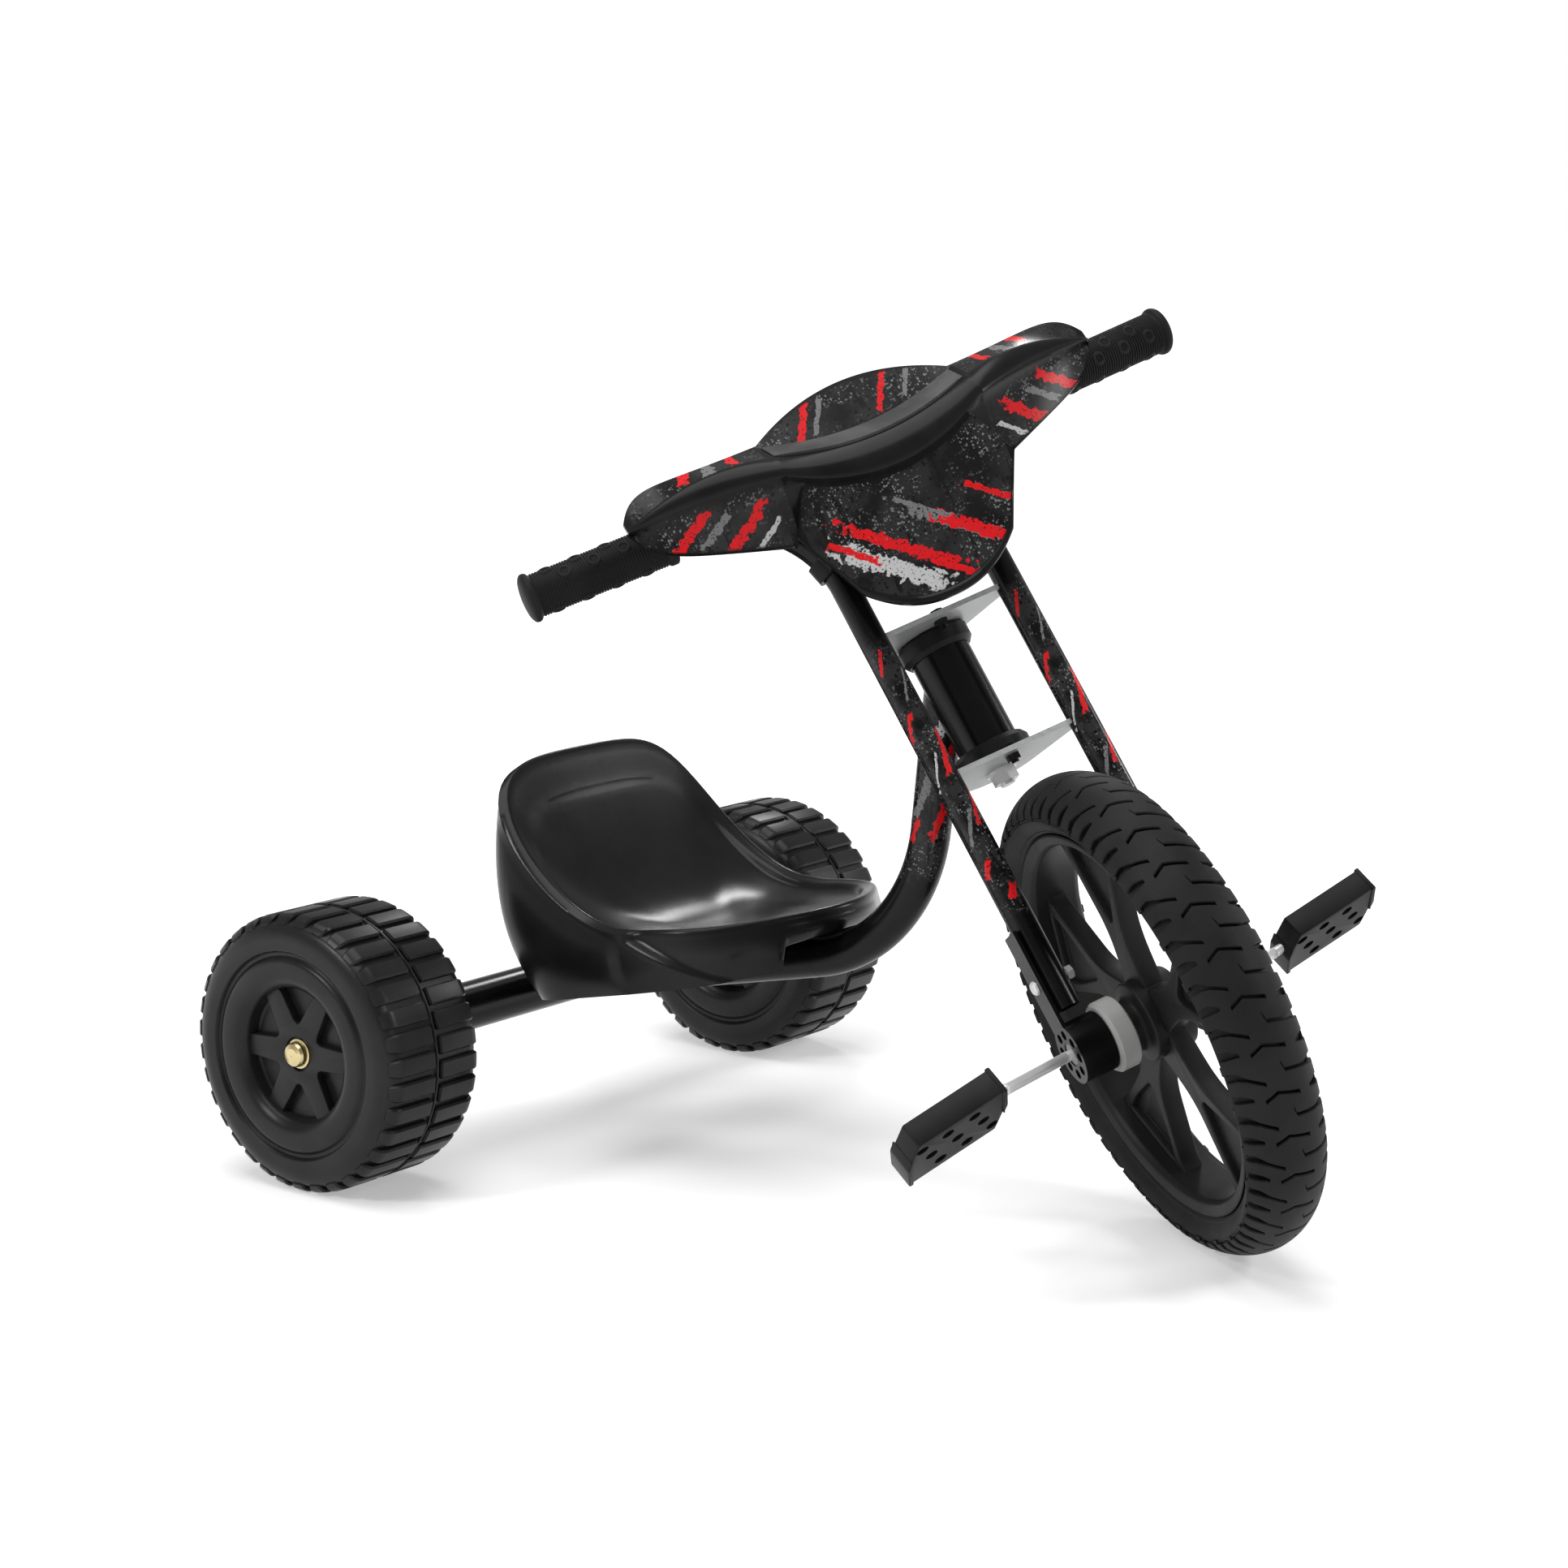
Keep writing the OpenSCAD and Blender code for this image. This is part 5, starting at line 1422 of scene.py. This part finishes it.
@dataclass
class Shield:
    """Moulded shield over the bars: back plate, ridge, wings and front panel in one sheet."""

    half: float = 197.4
    wall: float = 3.0
    panel_low: float = 167.0
    panel_lean: float = 0.193
    panel_g: float = 93.8
    ridge_half: float = 82.0
    wing_from: float = 85.0
    panel_half: float = 92.0
    step_from: float = 72.0
    chin_half: float = 64.0
    chin_rise: float = 27.0
    side_top: float = 250.0
    wing_foot: Flat = (93.4, 246.9)
    top_line: tuple[Flat, Flat] = ((90.6, 355.0), (91.6, 333.0))
    back_line: tuple[Flat, Flat] = ((95.4, 314.0), (93.4, 330.0))
    front_line: tuple[Flat, Flat] = ((115.4, 297.7), (114.4, 313.4))
    low_line: tuple[Flat, Flat] = ((118.7, 270.0), (123.2, 293.0))

    def wing(self, across: float) -> float:
        """Share of the way along a wing."""
        return clamp01((across - self.wing_from) / (self.half - self.wing_from))

    def on_ridge(self, line: tuple[Flat, Flat], across: float) -> Flat:
        """Point of a line that bends from the ridge's middle to its end, and stays there past it."""
        return mix_flat(*line, (min(across, self.ridge_half) / self.ridge_half) ** 2)

    def top_edge(self, across: float) -> Flat:
        """Upper edge of the back plate and of the wings."""
        ahead, up = self.on_ridge(self.top_line, across)
        w = self.wing(across)
        return (ahead - 26 * w + 15 * w * w, up + 10 * w - w * w - 22 * w**9)

    def ridge_back(self, across: float) -> Flat:
        """Line where the back plate meets the ridge."""
        if across <= self.ridge_half:
            return self.on_ridge(self.back_line, across)
        return mix_flat(self.ridge_front(across), self.top_edge(across), 0.92 - 0.42 * self.wing(across))

    def ridge_front(self, across: float) -> Flat:
        """Upper front line of the ridge."""
        ahead, up = self.on_ridge(self.front_line, across)
        w = self.wing(across)
        return (ahead - 32.4 * w**1.3, up + 36 * w * (1 - w))

    def ridge_low(self, across: float) -> Flat:
        """Lower front line of the ridge."""
        ahead, up = self.on_ridge(self.low_line, across)
        w = self.wing(across)
        return (ahead - 41.2 * w**1.1, up + 18.5 * w + 12 * w * (1 - w))

    def panel(self, up: float) -> float:
        """How far ahead the front panel is at a height."""
        return self.panel_g + self.panel_lean * (up - self.panel_low)

    def foot_u(self, across: float) -> float:
        """Height of the lower edge."""
        if across < self.chin_half:
            return self.panel_low + self.chin_rise * (across / self.chin_half) ** 2.3
        if across < self.panel_half:
            low = self.panel_low + self.chin_rise
            run = self.panel_half - self.chin_half
            return low + (across - self.chin_half) * (self.side_top - low) / run
        w = self.wing(across)
        return self.wing_foot[1] + 44 * w + 18.9 * w**10

    def foot_g(self, across: float) -> float:
        """How far ahead the lower edge of a wing is."""
        w = self.wing(across)
        return self.wing_foot[0] - 22 * w + 9.8 * w * w

    def step_u(self, across: float) -> float:
        """Height of the step between the ridge or wing and the panel."""
        low = self.ridge_low(across)[1] - 5
        if across < self.step_from:
            return low
        least = self.foot_u(across) + 0.8 - 0.4 * self.wing(across)
        return max(least, low - (across - self.step_from) * 2.3)

    def wing_face(self, across: float, up: float) -> float:
        """How far ahead a wing's front face is at a height."""
        low = self.ridge_low(across)
        run = max(1.0, low[1] - self.foot_u(max(across, self.panel_half)))
        share = clamp01((low[1] - up) / run)
        return mix(low[0] - 4, self.foot_g(across), share**0.8)

    def profile(self, across: float) -> list[Point]:
        """Points from the upper edge to the lower one: ahead, up and share of print."""
        top = self.top_edge(across)
        back = self.ridge_back(across)
        front = self.ridge_front(across)
        low = self.ridge_low(across)
        w = self.wing(across)
        tuck = (low[0] - 4 + 3.6 * w, low[1] - 1.4 + 1.1 * w)
        step = self.step_u(across)
        foot = self.foot_u(across)
        upper = step + 0.6 - 0.3 * w
        on_wing = 1.0 if across > self.ridge_half + 3 else 0.0
        inside = across < self.step_from

        def face(up: float) -> Flat:
            """Point of the upper face under the ridge."""
            return (self.panel(up) if inside else self.wing_face(across, up), up)

        def lower(up: float) -> Flat:
            """Point of the lower face."""
            return (self.wing_face(across, up) if across > self.panel_half else self.panel(up), up)

        plate_rows = (0, 0.05, 0.1, 0.3, 0.5, 0.7, 0.9)
        rows = [(*mix_flat(top, back, q), 1.0 if q > 0.06 else 0.0) for q in plate_rows]
        rows += [(*mix_flat(back, front, q), on_wing) for q in (0, 0.1, 0.35, 0.65, 0.9)]
        for q in (0, 0.05, 0.11, 0.18, 0.27, 0.38, 0.5, 0.62, 0.74, 0.86, 0.94, 1.0):
            ahead, up = mix_flat(front, low, q)
            rows.append((ahead + (4.2 - 2.6 * w) * math.sin(math.pi * q) ** 0.8, up, 0.0))
        rows += [(*tuck, 0.0)]
        rows += [(*face(mix(tuck[1], upper, q)), on_wing) for q in (0.12, 0.2, 0.4, 0.6, 0.8, 0.94)]
        rows += [(*face(upper), 0.0)]
        panel_print = 1.0 if across < self.panel_half - 6 else 0.0
        panel_rows = (0, 0.06, 0.12, 0.3, 0.5, 0.7, 0.88, 0.92)
        rows += [(*lower(mix(step, foot, q)), panel_print) for q in panel_rows]
        for q, roll in ((0.935, 0.0), (0.95, 1.3), (0.97, 1.8), (0.99, 1.4), (1.0, 0.2)):
            ahead, up = lower(mix(step, foot, q))
            rows.append((ahead + roll * (1 - 0.5 * w), up, 0.0))
        return rows

    def stations(self) -> list[float]:
        """Places across the shield, close together where it turns quickly."""
        past_panel = (-7, -6, -4, -2, -1, -0.1, 0.1, 1, 2.5, 4)
        before_tip = (10.4, 8.4, 6.4, 4.6, 3.0, 1.7, 0.7, 0.0)
        half = [2.0 * i for i in range(43)] + [self.panel_half + past for past in past_panel]
        half += [98 + 2.5 * i for i in range(36)] + [self.half - before for before in before_tip]
        return [-y for y in reversed(half[1:])] + half

    def build(self, shop: Workshop) -> None:
        """Builds the sheet with its print attribute and its own map, and dresses it."""
        rings: list[list[Point]] = []
        prints: list[float] = []
        maps: list[Flat] = []
        for y in self.stations():
            rows = self.profile(abs(y))
            edge = ease((self.half - 5 - abs(y)) / 3)
            behind = [(g - self.wall, y, u) for g, u, _ in reversed(rows)]
            rings.append([(g, y, u) for g, u, _ in rows] + behind)
            prints += [ink * edge for _, _, ink in rows] + [0.0] * len(rows)
            maps += [(y * MM, u * MM) for _, y, u in rings[-1]]
        sheet = make("bar_shield", skin(rings), shop.layout.front())
        ink = sheet.data.attributes.new("print", "FLOAT", "POINT")
        ink.data.foreach_set("value", prints)
        layer = sheet.data.uv_layers.new(name="sheet")
        for loop in sheet.data.loops:
            layer.data[loop.index].uv = maps[loop.vertex_index]
        sheet = clean(sheet, crease=32)
        shop.dress(sheet, "shield", "front_fork", "shield")


@dataclass
class Grip:
    """Rubber grip: core with a flanged end, fine ribs and staggered dimples."""

    tube_r: float
    length: float = 121.0
    radius: float = 17.0
    ribs: int = 46
    rib_from: float = 10.0
    rib_step: float = 2.2
    dimple_rows: int = 5
    dimples: int = 4
    dimple_from: float = 11.0
    dimple_step: float = 24.0
    stagger: float = 12.5

    def core(self) -> Shape:
        """Turned body with its domed flange and inner collar."""
        r = self.radius
        corners = [(0.0, 0.0, 0.0), (9.0, -0.3, 3.0), (15.0, -1.5, 3.0), (18.6, -3.6, 2.0),
                   (19.4, -6.0, 1.5), (18.6, -8.6, 1.0), (r - 0.9, -10.2, 1.5),
                   (r - 0.9, -self.length + 8.5, 1.0),
                   (r + 0.9, -self.length + 6.5, 1.2), (r + 0.9, -self.length + 1.0, 1.0),
                   (r - 0.4, -self.length, 0.6), (self.tube_r, -self.length, 0.4), (self.tube_r, -3.0, 0.0),
                   (0.0, -3.0, 0.0)]
        return revolve(rounded(corners, 4), 72)

    def rib(self) -> Shape:
        """One fine ring round the grip."""
        r = self.radius
        low = [(r - 1.4, -0.75, 0.0), (r - 0.2, -0.5, 0.4)]
        corners = low + [(r, 0.0, 0.3)] + [(x, -z, f) for x, z, f in reversed(low)]
        return revolve(rounded(corners, 2), 72)

    def dimple(self) -> Shape:
        """Round boss with a sunk middle, on the side of the grip."""
        outline = [(0.0, -2.4, 0.0), (2.2, -2.2, 0.6), (3.2, 0.1, 0.6), (4.6, 0.2, 1.0), (5.7, -1.0, 0.4),
                   (5.7, -2.4, 0.0)]
        points, faces = revolve(rounded(outline, 3, closed=False), 20, closed=False)
        turned = [(self.radius + z, x, y) for x, y, z in points]
        return turned, faces

    def build(self, shop: Workshop) -> None:
        """Builds both grips and dresses them."""
        rubber = shop.finishes["rubber"]
        for side in Side:
            place = shop.layout.bar_end(side)
            start = place @ lifted(-self.rib_from - 2.0)
            pieces = [clean(make("grip_core", self.core(), place), crease=40)]
            rib = make("grip_rib", self.rib())
            ribs = shop.repeat.apply(rib, rubber, start, self.ribs, 0.0, -self.rib_step)
            pieces.append(clean(ribs, crease=60))
            for row in range(self.dimple_rows):
                dimple = make("grip_dimple", self.dimple())
                step = 360 / self.dimple_rows
                turn = turned(step / 2 * (row % 2) + step * row, "Z")
                shift = lifted(-self.dimple_from - self.stagger * (row % 2))
                line = start @ turn @ shift
                copies = shop.repeat.apply(dimple, rubber, line, self.dimples, 0.0, -self.dimple_step)
                pieces.append(clean(copies, crease=60))
            grip = join(f"bar_grip_{side.word}", pieces)
            shop.dress(grip, "rubber", "front_fork", f"grip_{side.word}")


@dataclass
class Pedal:
    """Block pedal: smooth edges, staggered oval pockets in each tread and proud end lips."""

    length: float
    width: float = 48.0
    thick: float = 22.5
    lip: float = 4.0
    proud: float = 1.1
    blunt: Flat = (26.0, 11.0)
    corner: float = 1.8
    body_inset: Flat = (0.8, 0.6)
    body_edge: float = 1.2
    lip_edge: float = 1.0
    pocket_reach: Flat = (3.6, 5.0)
    pocket_depth: float = 5.0
    row_gap: float = 14.0
    outer_row: tuple[float, ...] = (15.0, -7.5, -29.0)
    middle_row: tuple[float, ...] = (-22.0, 0.0, 22.0)

    def reach(self, along: float, inset: float) -> float:
        """Half width on the side of +x at a place along the pedal, blunted towards its low end."""
        share = clamp01(1 - (along + self.length / 2) / self.blunt[1])
        return self.width / 2 - inset - self.blunt[0] * share

    def outline(self, inset: float, low: float, high: float) -> list[Flat]:
        """Outline with two opposite corners blunted, between two places along the pedal."""
        bend = self.length / 2 - self.blunt[1]
        stops = [sorted({low, high, max(low, min(high, place))}) for place in (-bend, bend)]
        right = [(self.reach(y, inset), y, self.corner) for y in stops[0]]
        left = [(-self.reach(-y, inset), y, self.corner) for y in stops[1]]
        return rounded(right + left[::-1], 4)

    def pegs(self, place: Matrix) -> Piece:
        """Oval pegs in three staggered rows, which cut the pockets out of both treads."""
        wide, long = self.pocket_reach
        middles = [(row * self.row_gap, row * y) for row in (-1, 1) for y in self.outer_row]
        middles += [(0.0, y) for y in self.middle_row]
        floor = self.thick / 2 - self.proud - self.pocket_depth
        pegs = []
        for face in Side:
            for x, y in middles:
                oval = [(x + wide * a, y + long * b) for a, b in circle(1.0, 24)]
                rings = [[(*point, face.value * z) for point in oval] for z in (floor, self.thick)]
                pegs.append(make("pedal_peg", skin(rings), place))
        return clean(join("pedal_pegs", pegs))

    def body(self, place: Matrix) -> Piece:
        """Block with its pockets."""
        end = self.length / 2
        inset, short = self.body_inset
        outline = self.outline(inset, short - end, end - short)
        block = plate("pedal_body", [outline], self.thick - 2 * self.proud, self.body_edge, place)
        pegs = self.pegs(place)
        cut = block.modifiers.new("pockets", "BOOLEAN")
        cut.operation = "DIFFERENCE"
        cut.solver = "EXACT"
        cut.object = pegs
        block = bake(block)
        bpy.data.objects.remove(pegs)
        return block

    def build(self, shop: Workshop) -> None:
        """Builds both pedals and dresses them."""
        end = self.length / 2
        for side in Side:
            place = shop.layout.pedal(side)
            pieces = [self.body(place)]
            for word, low, high in (("low", -end, self.lip - end), ("high", end - self.lip, end)):
                outline = self.outline(0.0, low, high)
                pieces.append(plate(f"pedal_{word}_lip", [outline], self.thick, self.lip_edge, place))
            pedal = join(f"block_pedal_{side.word}", pieces)
            body_name = f"pedal_{side.word}"
            shop.dress(clean(pedal, crease=35), "plastic", body_name, body_name)


# Stage


@dataclass(frozen=True)
class Camera:
    """Camera at the photograph's viewing angle."""

    place: Point = (1.84495, -2.07932, 0.78662)
    ahead: Point = (-0.60119, 0.77866, -0.17962)
    up: Point = (-0.10878, 0.14295, 0.98373)
    lens: float = 76.72
    sensor: float = 36.0

    def build(self) -> None:
        """Makes the camera and gives it to the scene."""
        data = bpy.data.cameras.new("camera")
        data.lens = self.lens
        data.sensor_width = self.sensor
        data.clip_end = 100.0
        camera = put("camera", data)
        back = -Vector(self.ahead).normalized()
        right = Vector(self.up).cross(back).normalized()
        up = back.cross(right)
        turn = Matrix((right, up, back)).transposed().to_4x4()
        camera.matrix_world = Matrix.Translation(self.place) @ turn
        bpy.context.scene.camera = camera


@dataclass(frozen=True)
class Lamp:
    """Soft square lamp aimed at the tricycle."""

    name: str
    place: Point
    size: float
    watts: float
    aim: Point = (0.3, 0.0, 0.25)

    def build(self) -> None:
        """Makes the lamp."""
        data = bpy.data.lights.new(self.name, "AREA")
        data.shape = "SQUARE"
        data.size = self.size
        data.energy = self.watts
        lamp = put(self.name, data)
        lamp.location = self.place
        lamp.rotation_euler = (Vector(self.aim) - Vector(self.place)).to_track_quat("-Z", "Y").to_euler()


@dataclass(frozen=True)
class Studio:
    """Pale floor, soft world light and lamps."""

    floor_half: float = 40.0
    floor_colour: float = 0.80
    floor_drift: float = 0.005
    glow_middle: Point = (0.3, 0.0, 0.0)
    floor_glow: Flat = (0.38, 1.0)
    glow_reach: Flat = (0.75, 2.0)
    sky: float = 0.25
    horizon: float = 1.0
    horizon_band: Flat = (0.06, 0.3)
    lamps: tuple[Lamp, ...] = (
        Lamp("lamp_over", (0.1, -0.4, 2.6), 2.2, 48.0),
        Lamp("lamp_key", (-0.6, -2.4, 1.9), 0.55, 26.0),
        Lamp("lamp_side", (2.4, 0.6, 1.5), 0.5, 14.0),
        Lamp("lamp_back", (-0.7, 1.8, 1.75), 0.36, 9.0),
        Lamp("lamp_far", (1.4, 2.0, 1.3), 0.35, 6.0),
    )

    def floor(self) -> None:
        """Makes the floor, which stays white under the camera and keeps the shadow."""
        h = self.floor_half / MM
        floor = make("floor", ([(-h, -h, 0), (h, -h, 0), (h, h, 0), (-h, h, 0)], [(0, 1, 2, 3)]))
        brush = Brush("pale_floor")
        brush.nodes.remove(brush.shader)
        tones = (self.floor_colour - self.floor_drift, self.floor_colour + self.floor_drift)
        tone = brush.span(brush.noise(0.8, 2.0), 0.0, 1.0, *tones)
        matt = brush.add("ShaderNodeBsdfDiffuse", {"Color": tone})
        rays = brush.add("ShaderNodeLightPath").outputs
        seen = brush.math("MAXIMUM", rays["Is Camera Ray"], rays["Is Glossy Ray"])
        seen = brush.math("MAXIMUM", seen, rays["Is Transmission Ray"])
        ends = {0: brush.place, 1: self.glow_middle}
        away = brush.add("ShaderNodeVectorMath", ends, operation="DISTANCE")
        level = brush.span(away.outputs["Value"], *self.glow_reach, *self.floor_glow)
        glow = brush.add("ShaderNodeEmission", {"Strength": brush.math("MULTIPLY", seen, level)})
        both = brush.add("ShaderNodeAddShader", {0: matt.outputs["BSDF"], 1: glow.outputs["Emission"]})
        brush.join(both.outputs["Shader"], brush.out.inputs["Surface"])
        floor.data.materials.append(brush.material)

    def world(self) -> None:
        """Makes the world: white at the horizon, soft grey overhead."""
        world = bpy.data.worlds.new("studio")
        bpy.context.scene.world = world
        world.use_nodes = True
        nodes = world.node_tree.nodes
        link = world.node_tree.links.new
        light = nodes["Background"]
        light.inputs["Color"].default_value = (1.0, 1.0, 1.0, 1.0)
        place = nodes.new("ShaderNodeTexCoord")
        split = nodes.new("ShaderNodeSeparateXYZ")
        link(place.outputs["Generated"], split.inputs["Vector"])
        fade = nodes.new("ShaderNodeMapRange")
        fade.interpolation_type = "SMOOTHSTEP"
        limits = (*self.horizon_band, self.horizon, self.sky)
        for word, value in zip(("From Min", "From Max", "To Min", "To Max"), limits):
            fade.inputs[word].default_value = value
        link(split.outputs["Z"], fade.inputs["Value"])
        link(fade.outputs["Result"], light.inputs["Strength"])

    def build(self) -> None:
        """Builds the stage."""
        self.floor()
        self.world()
        for lamp in self.lamps:
            lamp.build()
        bpy.context.scene.view_settings.view_transform = "Standard"


def make_finishes(layout: FrontLayout) -> dict[str, Material]:
    """Builds every material by name.

    Args:
        layout: Layout of the front, from which the printed stretches are measured.

    Returns:
        Materials by the name used in the classes.
    """
    palette = Palette()
    plain = {name: getattr(palette, name).material() for name in Palette.__dataclass_fields__}
    prints = Prints()
    front = layout.front()
    up = (front.to_3x3() @ Vector((0.0, 0.0, 1.0))).normalized()
    ahead = (front.to_3x3() @ Vector((1.0, 0.0, 0.0))).normalized()
    paint = palette.paint
    words = ("roughness", "drift", "grain", "depth", "specular")
    shared = {word: getattr(paint, word) for word in words}
    for side in Side:
        start = (front @ Vector((layout.leg_offset, side.value * layout.leg_half, 0.0))) * MM
        plain[f"leg_print_{side.word}"] = PrintedTube(
            f"printed_{side.word}_fork_paint", paint.dark, paint.light, axis=tuple(up), face=tuple(ahead),
            origin=tuple(start), radius=layout.tube_d * MM / 2, stretch=prints.leg_stretch,
            design=prints.leg, **shared).material()
    rise = math.radians(layout.main_up)
    plain["main_print"] = PrintedTube(
        "printed_main_paint", paint.dark, paint.light, axis=(math.cos(rise), 0.0, math.sin(rise)),
        face=(math.sin(rise), 0.0, -math.cos(rise)), origin=layout.main_joint(),
        radius=layout.main_d * MM / 2, stretch=prints.main_stretch, design=prints.main,
        **shared).material()
    sheet = palette.plastic
    plain["shield"] = PrintedSheet("printed_shield", sheet.dark, sheet.light, 0.20, 0.06, grain=900.0,
                                   depth=0.00003, specular=0.13, design=prints.shield).material()
    return plain


def dress_nodes(shop: Workshop) -> None:
    """Gives finishes to the nodes that stay as they were packed.

    Args:
        shop: The frame and its finishes.
    """
    shop.paint("main_print", "main_tube")
    for side in Side:
        shop.paint(f"leg_print_{side.word}", f"fork_tube_{side.word}")
    # The axle washers take the black paint too, partly as a dark finish of their own and partly as painted
    # shade round the axle caps.
    shop.paint("paint", "head_tube", "cross_tube", "stop_bolt", "axle_washers", "fork_bracket_right",
               "fork_bracket_left")
    shop.paint("plastic", "axle_plugs", "head_cap_upper", "head_cap_lower", "bar_clips", "leg_clips",
               "seat_bracket_front", "seat_bracket_rear")
    shop.paint("zinc", "bridge_plate_upper", "bridge_plate_lower", "seat_nuts", "bracket_nuts")
    shop.paint("steel", "axle_rod", "seat_bolts", "steering_bolt", "steering_nut", "bracket_bolts",
               "crank_axle")
    shop.paint("brass", "axle_caps")
    shop.paint("nylon", "axle_bushes", "hub_ring_right", "hub_ring_left")
    shop.paint("rubber", "inner_tube")
    shop.paint("pad", "shield_pad")


def main() -> None:
    """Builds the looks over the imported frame."""
    logging.basicConfig(level=logging.INFO, format="%(name)s: %(message)s")
    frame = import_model()
    layout = FrontLayout()
    shop = Workshop(frame, layout, make_finishes(layout), Repeat())
    Camera().build()
    Studio().build()
    dress_nodes(shop)
    rear = RearWheel()
    assemblies = (
        Tyre(layout.tyre_r, layout.tyre_w), Rim(), rear, Seat(layout.main_d / 2, rear.radius), Shield(),
        Grip(layout.tube_d / 2), Pedal(layout.pedal_l))
    for assembly in assemblies:
        assembly.build(shop)
        LOG.info("%s done", type(assembly).__name__)
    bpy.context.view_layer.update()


if __name__ == "__main__":
    main()
